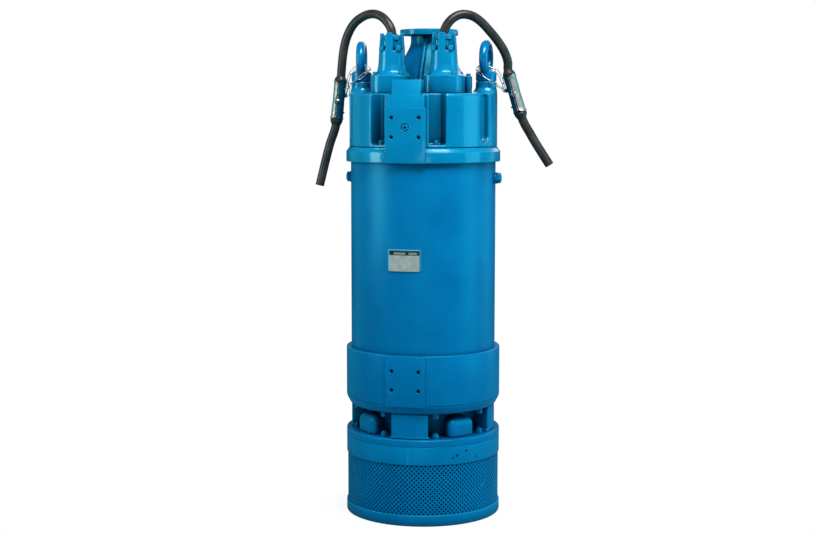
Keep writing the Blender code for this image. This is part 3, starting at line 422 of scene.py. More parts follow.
@dataclass(frozen=True)
class Enamel(Finish):
    """Blue enamel, sprayed on rolled plate or on a casting."""

    name: str
    colour: Colour
    shadow: Colour                          # where the coat is thick
    roughness: float = 0.38
    peel: float = 0.000030                  # height of the orange peel
    casting: float = 0.0                    # height of the cast skin that shows through
    chips: tuple[tuple[Place, float], ...] = ()
    coat: float = 0.0
    coat_roughness: float = 0.15
    painted_shade: Colour = (0.000, 0.018, 0.070, 1.0)     # painted shade, darkest deep in recesses and between parts
    primer: Colour = (0.004, 0.010, 0.018, 1.0)
    gleam: Colour = (0.10, 0.95, 1.0, 1.0)          # tint of its mirror images
    # how far the painted shade looks for nearby surfaces
    painted_shade_reach: float = 0.14
    chip_depth: float = 0.0002
    chip_limit: float = 0.74                # how strong a chip's mark is at its edge
    spray_waves: float = 5.0                        # to the metre, like the next four
    peel_waves: float = 240.0
    lump_waves: float = 110.0
    swell_waves: float = 32.0
    fleck_waves: float = 260.0

    def sockets(self, graph: Graph) -> dict[str, Any]:
        """Return a glossy coat that is a little uneven in colour, gloss and height."""
        spray = graph.noise(self.spray_waves, 3.0, 0.6)
        peel = graph.noise(self.peel_waves)
        height = peel * self.peel
        tone = spray.ramp(0.3, 0.7)
        if self.casting:
            lumps = graph.noise(self.lump_waves, 3.0, 0.65)
            swell = graph.noise(self.swell_waves)
            height = height + lumps * self.casting + swell * (2.5 * self.casting)
            tone = tone * 0.7 + lumps.ramp(0.3, 0.7) * 0.3
        colour = graph.mix(tone, self.shadow, self.colour)
        # Painted shade: the colour darkens where the surface is occluded, in recesses and between parts.
        colour = graph.mix(graph.openness(self.painted_shade_reach).ramp(0.18, 0.80), self.painted_shade, colour)
        roughness = self.roughness + (spray - 0.5) * 0.10
        if self.chips:
            colour, roughness, height = self.chipped(graph, colour, roughness, height)
        return {
            "Base Color": colour,
            "Roughness": roughness,
            "Normal": graph.bump(height),
            "Specular IOR Level": 0.42,
            "Specular Tint": self.gleam,
            "Coat Weight": self.coat,
            "Coat Roughness": self.coat_roughness,
        }

    def chipped(self, graph: Graph, colour: Any, roughness: Value, height: Value) -> tuple[Any, Value, Value]:
        """Return the coat with small chips that show the dark primer.

        Args:
            graph: The material's nodes.
            colour: The whole coat's colour.
            roughness: Its roughness.
            height: Its height.

        Returns:
            The same three with the chips in them.
        """
        flecks = graph.noise(self.fleck_waves, 3.0, 0.7, graph.place((1.0, 1.0, 1.4)))
        chipped = None
        for spot, reach in self.chips:
            mark = (graph.near(spot, reach) * 0.75 + flecks * 0.55).above(self.chip_limit)
            chipped = mark if chipped is None else chipped.math("MAXIMUM", mark)
        chipped_colour = graph.mix(chipped, colour, self.primer)
        return chipped_colour, roughness + chipped * 0.3, height - chipped * self.chip_depth


@dataclass(frozen=True)
class Metal(Finish):
    """Bare or plated metal with soft scratches."""

    name: str
    colour: Colour
    dull: Colour
    roughness: float = 0.28
    scratch: float = 0.000012
    cloud_waves: float = 70.0
    scratch_waves: float = 520.0

    def sockets(self, graph: Graph) -> dict[str, Any]:
        """Return metal whose plating is clouded here and there."""
        cloud = graph.noise(self.cloud_waves, 4.0, 0.6)
        lines = graph.noise(self.scratch_waves, 2.0, 0.6, graph.place((1.0, 1.0, 0.25)))
        return {
            "Base Color": graph.mix(cloud.ramp(0.35, 0.7), self.colour, self.dull),
            "Roughness": self.roughness + cloud.ramp(0.3, 0.8) * 0.18,
            "Normal": graph.bump(lines * self.scratch),
            "Metallic": 1.0,
        }


@dataclass(frozen=True)
class Rubber(Finish):
    """Satin black rubber with a faint bloom."""

    name: str = "satin_rubber"
    colour: Colour = (0.026, 0.022, 0.021, 1.0)
    bloom: Colour = (0.062, 0.054, 0.050, 1.0)
    gleam: Colour = (1.0, 0.72, 0.72, 1.0)
    roughness: float = 0.33
    grain: float = 0.00003
    dust_waves: float = 18.0
    grain_waves: float = 700.0

    def sockets(self, graph: Graph) -> dict[str, Any]:
        """Return rubber with dusty patches and a fine grain."""
        dust = graph.noise(self.dust_waves, 4.0, 0.6)
        grain = graph.noise(self.grain_waves)
        return {
            "Base Color": graph.mix(dust.ramp(0.45, 0.8), self.colour, self.bloom),
            "Roughness": self.roughness + (dust - 0.5) * 0.2,
            "Specular IOR Level": 0.40,
            "Specular Tint": self.gleam,
            "Normal": graph.bump(grain * self.grain),
        }


@dataclass(frozen=True)
class RatingPlate(Finish):
    """A satin plate with a dark band and plain ruled cells, with nothing written on it."""

    name: str = "rating_plate"
    bottom: float = 1.0097
    top: float = 1.0957
    half_width: float = 0.067
    shift: float = -0.0064                  # where its middle lies
    satin: Colour = (0.58, 0.52, 0.48, 1.0)
    cell: Colour = (0.27, 0.25, 0.23, 1.0)
    # The border's paint, and a copy of it in painted shade for its right side.
    rim: Colour = (0.10, 0.40, 0.52, 1.0)
    shaded_rim: Colour = (0.01, 0.20, 0.38, 1.0)
    band: Colour = (0.006, 0.008, 0.008, 1.0)
    mark: Colour = (0.25, 0.23, 0.22, 1.0)
    rows: int = 8
    columns: tuple[float, ...] = (-0.030, 0.000, 0.030)
    half_line: float = 0.0005
    margin: float = 0.0050
    band_reach: tuple[float, float] = (0.0229, 0.0048)      # the band's two edges, down from the top
    mark_reach: tuple[float, float] = (0.0200, 0.0112)      # those of the plain bars on it
    bars: tuple[Point, Point] = ((-0.043, 0.005), (0.017, 0.050))
    rule_share: float = 0.16                # of a row's height
    brush_waves: float = 300.0
    cloud_waves: float = 45.0

    def sockets(self, graph: Graph) -> dict[str, Any]:
        """Return the plate's printed band and lines over brushed metal."""
        across, _, z = graph.axes()
        x = across - self.shift
        right = self.half_width - 1.5 * self.margin
        inside = x.between(self.margin - self.half_width, right)
        band_bottom, band_top = (self.top - reach for reach in self.band_reach)
        mark_bottom, mark_top = (self.top - reach for reach in self.mark_reach)
        band = z.between(band_bottom, band_top) * inside
        left_bar, right_bar = (x.between(*bar) for bar in self.bars)
        blocks = z.between(mark_bottom, mark_top) * left_bar.math("MAXIMUM", right_bar)
        row = ((z - self.bottom) * (self.rows / (band_bottom - self.bottom))).math("FRACT")
        table = z.below(band_bottom) * inside
        rules = row.below(self.rule_share)
        for column in self.columns:
            rules = rules.math("MAXIMUM", x.between(column - self.half_line, column + self.half_line))
        brushed = graph.noise(self.brush_waves, 3.0, 0.6, graph.place((0.15, 1.0, 1.0)))
        cloud = graph.noise(self.cloud_waves, 3.0, 0.6)
        # The field is mottled and brushed, and darker towards its right edge.
        darker_share = cloud.ramp(0.35, 0.75) * 0.6 + brushed * 0.25 + x.ramp(0.01, 0.06) * 0.25
        ground = graph.mix(darker_share, self.satin, self.cell)
        ruled = graph.mix(rules * table * 0.45, ground, self.cell)
        # Painted shade: the border's right side is darker than its left and top.
        rim = graph.mix(x.above(right), self.rim, self.shaded_rim)
        edged = graph.mix((1.0 - inside).math("MAXIMUM", z.above(band_top)), ruled, rim)
        dark = graph.mix(band, edged, self.band)
        return {
            "Base Color": graph.mix(band * blocks, dark, self.mark),
            "Roughness": 0.36 + brushed * 0.12,
            "Metallic": (1.0 - band) * 0.12,
            "Normal": graph.bump(brushed * 0.00001 - rules * table * 0.00004),
        }


DEEP = (0.000, 0.130, 0.335, 1.0)
BRIGHT = (0.000, 0.172, 0.405, 1.0)
BASE_DEEP = (0.000, 0.152, 0.362, 1.0)
BASE_BRIGHT = (0.000, 0.200, 0.437, 1.0)
HEAD_DEEP = (0.000, 0.180, 0.385, 1.0)
HEAD_BRIGHT = (0.000, 0.234, 0.465, 1.0)
DULL = (0.004, 0.075, 0.125, 1.0)
DULL_DEEP = (0.003, 0.045, 0.080, 1.0)
BAND_CHIPS = (
    ((0.2270, -0.2148, 0.2960), 0.0130),
    ((0.1949, -0.2443, 0.2807), 0.0150),
    ((0.1811, -0.2547, 0.2722), 0.0110),
    ((0.2578, -0.1766, 0.2669), 0.0100),
)


class Finishes:
    """Every finish of the pump, made once."""

    def __init__(self) -> None:
        """Make the materials."""
        polished = {"peel": 0.00002, "casting": 0.00003, "coat": 0.6, "coat_roughness": 0.10}
        self.plate_enamel = Enamel("enamel_on_plate", BRIGHT, DEEP, peel=0.000018).material()
        self.cast_enamel = Enamel("enamel_on_casting", BRIGHT, DEEP, 0.33, 0.00003, 0.00007).material()
        self.eye_enamel = Enamel("enamel_on_forging", BRIGHT, DEEP, 0.33, **polished).material()
        self.head_enamel = Enamel("enamel_on_head", HEAD_BRIGHT, HEAD_DEEP, 0.36, **polished).material()
        self.band_enamel = Enamel(
            "enamel_on_band", BASE_BRIGHT, BASE_DEEP, peel=0.000022, chips=BAND_CHIPS).material()
        self.dull_enamel = Enamel("dull_enamel", DULL, DULL_DEEP, 0.5).material()
        self.silver = Metal(
            "bright_pressing", (0.55, 0.44, 0.43, 1.0), (0.34, 0.28, 0.27, 1.0), 0.42).material()
        self.zinc = Metal("zinc_plating", (0.70, 0.71, 0.70, 1.0), (0.40, 0.41, 0.40, 1.0), 0.30).material()
        self.rubber = Rubber().material()
        self.rating = RatingPlate().material()


class Blank:
    """A mesh on the bench, shaped with Blender's own modelling tools."""

    def __init__(self, item: bpy.types.Object, name: str) -> None:
        """Take an object and name it.

        Args:
            item: The object, with its place in its mesh.
            name: The name of the object and its mesh.
        """
        self.item = item
        item.name = name
        item.data.name = name

    @classmethod
    def primitive(cls, name: str, add: Callable[..., Any], **size: Any) -> "Blank":
        """Add one of Blender's primitives and put its place into its mesh.

        Args:
            name: The new piece's name.
            add: The operator that adds the primitive.
            size: The operator's own sizes, location and rotation.

        Returns:
            The primitive as a blank.
        """
        bpy.ops.object.select_all(action="DESELECT")
        add(**size)
        bpy.ops.object.transform_apply(location=True, rotation=True, scale=True)
        return cls(bpy.context.object, name)

    @classmethod
    def box(cls, name: str, low: Place, high: Place) -> "Blank":
        """Add a box between two corners."""
        centre = [(a + b) / 2 for a, b in zip(low, high)]
        size = [b - a for a, b in zip(low, high)]
        return cls.primitive(name, bpy.ops.mesh.primitive_cube_add, size=1.0, location=centre, scale=size)

    @classmethod
    def cylinder(cls, name: str, radius: float, bottom: float, top: float, sides: int = SMALL_SIDES,
                 centre: Point = (0.0, 0.0)) -> "Blank":
        """Add an upright cylinder between two heights."""
        return cls.primitive(name, bpy.ops.mesh.primitive_cylinder_add, vertices=sides, radius=radius,
                             depth=top - bottom, location=(*centre, (top + bottom) / 2))

    @classmethod
    def turned(cls, name: str, profile: Sequence[Point], sides: int = SMALL_SIDES,
               centre: Point = (0.0, 0.0)) -> "Blank":
        """Spin a profile round an upright axis.

        Args:
            name: The new piece's name.
            profile: The radius and height of each point, from the axis back to it, or round to the start.
            sides: How many faces go round.
            centre: The X and Y of the axis.

        Returns:
            The turned solid.
        """
        radius, height = profile[0]
        blank = cls.primitive(name, bpy.ops.mesh.primitive_plane_add, size=SEED,
                              location=(centre[0] + radius, centre[1], height))
        with blank.shaping(Part.VERT):
            bpy.ops.mesh.select_all(action="SELECT")
            bpy.ops.mesh.merge(type="CENTER")
            for (r0, z0), (r1, z1) in pairwise(profile):
                bpy.ops.mesh.extrude_region_move(TRANSFORM_OT_translate={"value": (r1 - r0, 0.0, z1 - z0)})
            bpy.ops.mesh.select_all(action="SELECT")
            bpy.ops.mesh.spin(steps=sides, angle=math.tau, center=(*centre, 0.0), axis=(0.0, 0.0, 1.0))
        blank.tidy()
        return blank

    @classmethod
    def sector(cls, name: str, outline: Sequence[Point], start: float, sweep: float, steps: int) -> "Blank":
        """Fill a closed profile and spin it part of the way round an upright axis at the origin.

        Args:
            name: The new piece's name.
            outline: The radius and height of the profile's corners in order.
            start: Where it starts, in degrees from +X.
            sweep: How far it turns, in degrees.
            steps: How many faces go round.

        Returns:
            The solid.
        """
        places = [(radius, 0.0, height) for radius, height in outline]
        blank = cls.primitive(name, bpy.ops.mesh.primitive_plane_add, size=SEED, location=places[0])
        with blank.shaping(Part.VERT):
            blank.draw(places)
            bpy.ops.mesh.spin(
                steps=steps, angle=math.radians(sweep), center=(0.0, 0.0, 0.0), axis=(0.0, 0.0, 1.0))
        blank.tidy()
        way = 1.0 if blank.item.data.vertices[-1].co.y >= 0.0 else -1.0
        blank.move(Matrix.Scale(way, 4, (0.0, 1.0, 0.0)))
        return blank.move(facing(start))

    @classmethod
    def swept(cls, name: str, outline: Sequence[Place], sweep: Place) -> "Blank":
        """Draw a closed flat outline point by point, fill it and extrude it straight.

        Args:
            name: The new piece's name.
            outline: The outline's corners in order.
            sweep: How far and which way it is extruded.

        Returns:
            The solid.
        """
        blank = cls.primitive(name, bpy.ops.mesh.primitive_plane_add, size=SEED, location=outline[0])
        with blank.shaping(Part.VERT):
            blank.draw(outline)
            bpy.ops.mesh.extrude_region_move(TRANSFORM_OT_translate={"value": sweep})
        blank.tidy()
        return blank

    @classmethod
    def arched(cls, name: str, inner: float, outer: float, bottom: float, top: float, half_angle: float,
               pieces: int = 8) -> "Blank":
        """Add a box, divide it and roll it round the upright axis, its middle to the front.

        Args:
            name: The new piece's name.
            inner: Its inner radius.
            outer: Its outer radius.
            bottom: Its lower height.
            top: Its upper height.
            half_angle: How far it reaches to each side, in degrees.
            pieces: How many straight pieces it has round.

        Returns:
            The solid, a sector of a ring.
        """
        half = math.radians(half_angle) * outer
        blank = cls.box(name, (-half, 0.0, bottom), (half, outer - inner, top))
        with blank.shaping(Part.EDGE):
            blank.choose(Part.EDGE, lambda edge: abs(edge.verts[0].co.x - edge.verts[1].co.x) > half)
            bpy.ops.mesh.subdivide(number_cuts=pieces - 1)
        return blank.roll(outer)

    @classmethod
    def stadium(cls, name: str, width: float, bottom: float, top: float, depth: float) -> "Blank":
        """Add a lying cylinder and draw its upper half up, to an upright slot with round ends."""
        sides, middle = 40, bottom + width / 2
        blank = cls.primitive(name, bpy.ops.mesh.primitive_cylinder_add, vertices=sides, radius=width / 2,
                              depth=depth, location=(0.0, 0.0, middle),
                              rotation=(math.pi / 2, math.pi / sides, 0.0))
        with blank.shaping(Part.VERT):
            blank.choose(Part.VERT, lambda vert: vert.co.z > middle)
            bpy.ops.transform.translate(value=(0.0, 0.0, top - bottom - width))
        return blank

    @contextmanager
    def shaping(self, part: Part = Part.FACE) -> Iterator[None]:
        """Hold the blank in edit mode, with one kind of part to select."""
        self.activate()
        bpy.ops.object.mode_set(mode="EDIT")
        bpy.ops.mesh.select_mode(type=part.name)
        try:
            yield
        finally:
            bpy.ops.object.mode_set(mode="OBJECT")

    def draw(self, outline: Sequence[Place]) -> None:
        """Turn the small plane that is being shaped into one face with these corners."""
        bpy.ops.mesh.select_all(action="SELECT")
        bpy.ops.mesh.merge(type="CENTER")
        for here, after in pairwise(outline):
            bpy.ops.mesh.extrude_region_move(TRANSFORM_OT_translate={"value": Vector(after) - Vector(here)})
        bpy.ops.mesh.select_all(action="SELECT")
        bpy.ops.mesh.edge_face_add()

    def activate(self) -> None:
        """Select this blank and nothing else."""
        bpy.ops.object.select_all(action="DESELECT")
        self.item.select_set(True)
        bpy.context.view_layer.objects.active = self.item

    def choose(self, part: Part, test: Callable[[Any], bool]) -> None:
        """Select the parts that pass a test, while shaping.

        Args:
            part: What is selected.
            test: Says for a bmesh element whether it is taken.
        """
        bpy.ops.mesh.select_mode(type=part.name)
        bpy.ops.mesh.select_all(action="DESELECT")
        work = bmesh.from_edit_mesh(self.item.data)
        for element in getattr(work, part.value):
            if test(element):
                element.select_set(True)
        work.select_flush_mode()
        bmesh.update_edit_mesh(self.item.data)

    def round_edges(self, test: Callable[[Vector, Vector], bool], width: float, segments: int) -> None:
        """Round the edges whose two ends pass a test.

        Args:
            test: Says for the places of an edge's ends whether it is taken.
            width: How far the rounding reaches.
            segments: How many straight pieces it has.
        """
        with self.shaping(Part.EDGE):
            self.choose(Part.EDGE, lambda edge: test(edge.verts[0].co, edge.verts[1].co))
            bpy.ops.mesh.bevel(offset=width, segments=segments, affect="EDGES")

    def tidy(self) -> None:
        """Merge doubled points and turn every face outwards."""
        with self.shaping(Part.VERT):
            bpy.ops.mesh.select_all(action="SELECT")
            bpy.ops.mesh.remove_doubles(threshold=WELD)
            bpy.ops.mesh.dissolve_degenerate(threshold=WELD)
            bpy.ops.mesh.select_all(action="SELECT")
            bpy.ops.mesh.normals_make_consistent(inside=False)

    def modify(self, kind: str, **settings: Any) -> "Blank":
        """Add a modifier and apply it."""
        self.activate()
        bpy.ops.object.modifier_add(type=kind)
        step = self.item.modifiers[-1]
        for name, value in settings.items():
            setattr(step, name, value)
        bpy.ops.object.modifier_apply(modifier=step.name)
        return self

    def work(self, operation: Operation, *tools: "Blank") -> "Blank":
        """Cut, keep or add with other solids, which are used up."""
        for tool in tools:
            self.modify("BOOLEAN", operation=operation.value, object=tool.item, solver="EXACT")
            bpy.data.objects.remove(tool.item, do_unlink=True)
        return self

    def cut(self, *tools: "Blank") -> "Blank":
        """Cut other solids away."""
        return self.work(Operation.CUT, *tools)

    def join(self, *others: "Blank") -> "Blank":
        """Take other blanks into this one's mesh, as they are."""
        self.activate()
        for other in others:
            other.item.select_set(True)
        bpy.ops.object.join()
        return self

    def melt(self, grain: float, passes: int) -> "Blank":
        """Fuse overlapping solids into one cast skin with soft edges.

        Args:
            grain: The size of the skin's faces.
            passes: How often the skin is smoothed.

        Returns:
            The blank.
        """
        self.modify("REMESH", mode="VOXEL", voxel_size=grain)
        return self.modify("SMOOTH", factor=0.5, iterations=passes)

    def soften(self, width: float, segments: int = 3, angle: float = 35.0) -> "Blank":
        """Round the edges that are sharper than an angle."""
        return self.modify("BEVEL", width=width, segments=segments, limit_method="ANGLE",
                           angle_limit=math.radians(angle), miter_outer="MITER_ARC", harden_normals=False)

    def move(self, matrix: Matrix) -> "Blank":
        """Put the mesh in another place."""
        self.item.data.transform(matrix)
        self.item.data.update()
        return self

    def roll(self, radius: float) -> "Blank":
        """Roll a flat sheet in the XZ plane round the upright axis, its middle to the front."""
        across = [vertex.co.x for vertex in self.item.data.vertices]
        self.modify("SIMPLE_DEFORM", deform_method="BEND", deform_axis="Z",
                    angle=(max(across) - min(across)) / radius)
        return self.move(Matrix.Translation((0.0, -radius, 0.0)))

    def repeat(self, count: int, step: Place) -> "Blank":
        """Put a row of copies in the mesh, a step apart."""
        return self.modify("ARRAY", count=count, use_relative_offset=False, use_constant_offset=True,
                           constant_offset_displace=step)

    def copy(self, name: str, matrix: Matrix = Matrix.Identity(4)) -> "Blank":
        """Return a copy with its own mesh, moved."""
        self.activate()
        bpy.ops.object.duplicate(linked=False)
        return Blank(bpy.context.object, name).move(matrix)

    def spread(self, places: Sequence[Matrix]) -> "Blank":
        """Put one copy at each place, joined in one mesh, in place of this blank."""
        copies = [self.copy(f"{self.item.name}_{i}", place) for i, place in enumerate(places)]
        name = self.item.name
        bpy.data.objects.remove(self.item, do_unlink=True)
        merged = copies[0].join(*copies[1:])
        return Blank(merged.item, name)

    def finish(self, material: bpy.types.Material, slot: Slot, *nodes: str, smooth: float = 38.0) -> "Blank":
        """Dress the piece and fix it to the pump.

        Args:
            material: The piece's finish.
            slot: The record's slot for that finish; not used.
            nodes: The CAD nodes that it stands for.
            smooth: Edges sharper than this many degrees stay sharp.

        Returns:
            The blank.
        """
        self.activate()
        bpy.ops.object.transform_apply(location=True, rotation=True, scale=True)
        bpy.ops.object.shade_smooth_by_angle(angle=math.radians(smooth))
        self.item.data.materials.clear()
        self.item.data.materials.append(material)
        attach(self.item, BODY)
        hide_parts(*nodes)
        LOG.info("%s: %d faces", self.item.name, len(self.item.data.polygons))
        return self


@dataclass(frozen=True)
class Extent:
    """A node's reach in the frame: its half width in X and its heights."""

    radius: float
    bottom: float
    top: float

    @classmethod
    def of(cls, node: str) -> "Extent":
        """Read a node's box."""
        low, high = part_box(node)
        return cls((high.x - low.x) / 2, low.z, high.z)


@dataclass(frozen=True)
class HexBolt:
    """A hexagon head on a washer, with a stud's end above it where a nut holds the piece."""

    width: float
    height: float
    washer: float = 0.0025
    stud: float = 0.0
    chamfer_share: float = 0.10             # these three are shares of the width
    washer_share: float = 0.64
    stud_share: float = 0.30

    def blank(self, name: str) -> Blank:
        """Return the bolt standing on the origin."""
        head_top = self.height - self.stud
        head = Blank.cylinder(name, self.width / math.sqrt(3.0), self.washer, head_top, 6)
        with head.shaping():
            head.choose(Part.FACE, lambda face: face.normal.z > 0.9)
            bpy.ops.mesh.bevel(offset=self.chamfer_share * self.width, segments=2, affect="EDGES")
        parts = [Blank.cylinder(f"{name}_washer", self.washer_share * self.width, 0.0, self.washer, 24)]
        if self.stud:
            radius = self.stud_share * self.width
            stud = Blank.cylinder(f"{name}_stud", radius, head_top - 0.001, self.height, 16)
            parts.append(stud.soften(0.0012, 2))
        return head.join(*parts)


@dataclass
class Assembly:
    """A group of pieces that are built together, most of them in one enamel."""

    enamel: ClassVar[str] = "head_enamel"
    finishes: Finishes

    def build(self) -> None:
        """Model the group's pieces and dress them."""
        raise NotImplementedError

    def painted(self, blank: Blank, *nodes: str, smooth: float = 38.0) -> Blank:
        """Finish a piece in the group's own enamel."""
        return blank.finish(getattr(self.finishes, self.enamel), Slot.ENAMEL, *nodes, smooth=smooth)


@dataclass
class Strainer(Assembly):
    """The foot, the perforated screen under its welded band, and the suction mouth inside."""

    enamel: ClassVar[str] = "plate_enamel"
    plate_top: float = 0.012
    foot_wall: float = 0.014
    sheet: float = 0.004
    columns: int = 107
    rows: int = 22
    hole_radius: float = 0.0041
    band_wall: float = 0.012
    seam_bearing: float = 2.1
    weld_width: float = 0.0045              # half of the weld's
    weld_ripple: float = 0.0040
    weld_height: float = 0.21               # as a share of half its width
    mouth_radius: float = 0.204
    mouth_bowl: float = 0.252
    mouth_flange: float = 0.262
    mouth_seat: float = 0.235               # under its flange, where its bolts hang
    mouth_flange_top: float = 0.247
    throat_radius: float = 0.117
    throat_top: float = 0.180
    mouth_bolts: int = 12
    mouth_bolt_circle: float = 0.238
    mouth_bolt: HexBolt = HexBolt(0.024, 0.016)

    def build(self) -> None:
        """Model the strainer from the floor up."""
        self.foot()
        self.screen()
        self.band()
        self.mouth()

    def foot(self) -> None:
        """Turn the base plate with its upstanding rim."""
        rim = Extent.of("base_plate")
        inner = rim.radius - self.foot_wall
        profile = rounded(
            (0.0, self.plate_top), (inner, self.plate_top, 0.006), (inner, rim.top, 0.004),
            (rim.radius, rim.top, 0.004), (rim.radius, 0.0, 0.005), (0.0, 0.0),
        )
        foot = Blank.turned("strainer_foot", profile, SIDES)
        foot.finish(self.finishes.band_enamel, Slot.ENAMEL, "base_plate")

    def screen(self) -> None:
        """Punch one hole in a tile, repeat it over a flat sheet and roll the sheet up."""
        sheet = Extent.of("strainer_screen")
        pitch = math.tau * sheet.radius / self.columns
        rise = (sheet.top - sheet.bottom) / self.rows
        upright = (math.pi / 2, 0.0, 0.0)
        place = (0.0, 0.0, sheet.bottom + rise / 2)
        tile = Blank.primitive("perforated_screen", bpy.ops.mesh.primitive_plane_add, size=1.0,
                               location=place, rotation=upright)
        with tile.shaping(Part.VERT):
            bpy.ops.mesh.select_all(action="SELECT")
            bpy.ops.transform.resize(value=(pitch, 1.0, rise), center_override=place)
            bpy.ops.mesh.subdivide(number_cuts=1)
            tile.choose(Part.VERT, lambda vert: len(vert.link_edges) == 4)
            bpy.ops.mesh.delete(type="VERT")
            bpy.ops.mesh.primitive_circle_add(vertices=8, radius=self.hole_radius, location=place,
                                              rotation=upright)
            tile.choose(Part.EDGE, lambda edge: True)
            bpy.ops.mesh.bridge_edge_loops()
        tile.repeat(self.columns, (pitch, 0.0, 0.0))
        shifted = tile.copy("shifted_row", Matrix.Translation((pitch / 2, 0.0, rise)))
        tile.join(shifted).repeat(self.rows // 2, (0.0, 0.0, 2 * rise))
        tile.roll(sheet.radius).tidy()
        tile.modify("SOLIDIFY", thickness=self.sheet, offset=-1.0)
        self.painted(tile, "strainer_screen", smooth=30.0)

    def band(self) -> None:
        """Turn the band over the screen and lay its upright weld on it."""
        band = Extent.of("strainer_band")
        inner = band.radius - self.band_wall
        profile = hoop(inner, band.radius, band.bottom, band.top, 0.003, 0.002)
        ring = Blank.turned("screen_band", profile, SIDES)
        count = int((band.top - band.bottom - 0.004) / self.weld_ripple)
        heights = [band.bottom + 0.002 + i * self.weld_ripple for i in range(count + 1)]
        widths = [self.weld_width * (1.0 if i % 2 else 0.75) for i in range(count + 1)]
        weld = [(0.0, heights[0]), *zip(widths, heights), (0.0, heights[-1])]
        ring.finish(self.finishes.band_enamel, Slot.ENAMEL, "strainer_band")
        seam = Blank.turned("band_weld", weld, 16).move(Matrix.Scale(self.weld_height, 4, (0.0, 1.0, 0.0)))
        seam.move(facing(self.seam_bearing, band.radius - 0.0001))
        seam.finish(self.finishes.head_enamel, Slot.ENAMEL, "strainer_band")

    def mouth(self) -> None:
        """Turn the suction mouth and hang its bolts under its flange."""
        mouth = Extent.of("suction_bell")
        profile = rounded(
            (0.0, mouth.top), (self.mouth_radius, mouth.top),
            (self.mouth_radius, self.mouth_flange_top, 0.003),
            (self.mouth_flange, self.mouth_flange_top, 0.002), (self.mouth_flange, self.mouth_seat, 0.002),
            (self.mouth_bowl, self.mouth_seat, 0.003), (self.mouth_bowl, 0.100, 0.022), (0.170, 0.098, 0.010),
            (0.130, 0.114, 0.015), (0.150, mouth.bottom, 0.003), (0.138, mouth.bottom, 0.003),
            (self.throat_radius, 0.112, 0.030), (self.throat_radius, self.throat_top, 0.010),
            (0.0, self.throat_top),
        )
        self.painted(Blank.turned("suction_mouth", profile, 96), "suction_bell")
        bolt = self.mouth_bolt.blank("suction_mouth_bolts").move(UPSIDE_DOWN)
        pitch = 360.0 / self.mouth_bolts
        places = [facing(2.5 + i * pitch, self.mouth_bolt_circle, self.mouth_seat)
                  for i in range(self.mouth_bolts)]
        bolt.spread(places).finish(self.finishes.zinc, Slot.ZINC)


@dataclass
class PumpCasing(Assembly):
    """The pump's casing between the strainer and the motor, with posts, bulges and two bolted rims."""

    enamel: ClassVar[str] = "cast_enamel"
    core_radius: float = 0.220
    core_hollow: float = 0.190
    post_radius: float = 0.292
    post_half_angle: float = 15.0
    foot_reach: float = 0.003               # of a post's foot, beyond the post
    foot_angle: float = 1.6
    foot_height: float = 0.005
    bulge_radius: float = 0.280
    bulge_half_angle: float = 14.0
    bulge_edge: float = 0.034
    bulge_back: float = -0.19
    bulge_taper: float = 0.62
    bulge_top: float = 0.425
    bolt_circle: float = 0.272
    bolts: int = 8
    turn: float = 2.2                       # how far the casting stands turned on its ledge
    nut: HexBolt = HexBolt(0.025, 0.022, stud=0.005)
    screw: HexBolt = HexBolt(0.025, 0.022)

    def build(self) -> None:
        """Model the ledge, the casing and the flange over it."""
        self.ledge()
        self.casing()
        self.flange()

    def places(self, height: float) -> list[Matrix]:
        """Return the bolts' places at a height, each turned a little differently."""
        pitch, start = 360.0 / self.bolts, 0.5 * self.turn
        return [facing((i + 0.5) * pitch + start, self.bolt_circle, height) @ placed(0.0, 0.0, 0.0, 0.4 * i)
                for i in range(self.bolts)]

    def ledge(self) -> None:
        """Turn the ledge that stands on the strainer, with its studs and nuts."""
        low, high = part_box("suction_flange")
        seat = high.z - self.nut.height
        ledge = Blank.turned("suction_ledge", disc(high.x, low.z, seat, 0.0015, 0.0045), SIDES)
        nuts = self.nut.blank("ledge_nuts").spread(self.places(seat))
        self.painted(ledge.join(nuts), "suction_flange")

    def casing(self) -> None:
        """Fuse the core, the four posts and the four round bulges into one casting."""
        casing = Extent.of("pump_casing")
        bottom, top = casing.bottom, casing.top
        body = Blank.turned("casing_body", hoop(self.core_hollow, self.core_radius, bottom, top), 96)
        inner = self.core_radius - 0.02
        for quarter in range(4):
            degrees = 90.0 * quarter + self.turn
            post = Blank.arched("post", inner, self.post_radius, bottom, top, self.post_half_angle)
            foot = Blank.arched("post_foot", inner, self.post_radius + self.foot_reach, bottom,
                                bottom + self.foot_height, self.post_half_angle + self.foot_angle)
            post.soften(0.007).join(foot.soften(0.0022)).move(facing(degrees))
            body.join(post, self.bulge(bottom).move(facing(degrees + 45.0)))
        body.melt(0.003, 6)
        self.painted(body, "pump_casing", smooth=60.0)

    def bulge(self, bottom: float) -> Blank:
        """Return a bulge at the front, with well rounded edges and a flat bottom."""
        half = self.bulge_radius * math.sin(math.radians(self.bulge_half_angle))
        bulge = Blank.box(
            "bulge", (-half, -self.bulge_radius, bottom - 0.05), (half, self.bulge_back, self.bulge_top))
        with bulge.shaping(Part.VERT):
            bulge.choose(Part.VERT, lambda vert: vert.co.y > self.bulge_back - 0.01)
            bpy.ops.transform.resize(value=(self.bulge_taper, 1.0, 1.0), center_override=(0.0, 0.0, 0.0))
        below = Blank.box("below", (-0.2, -0.4, bottom - 0.1), (0.2, 0.0, bottom))
        return bulge.soften(self.bulge_edge, 8).cut(below)

    def flange(self) -> None:
        """Turn the flange over the casing and hang its bolts under it."""
        low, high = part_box("casing_flange")
        seat = low.z + self.screw.height
        profile = rounded(
            (0.0, high.z), (high.x, high.z, 0.0015), (high.x, high.z - 0.006, 0.002),
            (0.298, seat + 0.004, 0.004), (0.294, seat, 0.003), (0.0, seat),
        )
        rim = Blank.turned("motor_flange", profile, SIDES)
        screws = self.screw.blank("flange_screws").move(UPSIDE_DOWN)
        self.painted(rim.join(screws.spread(self.places(seat))), "casing_flange")


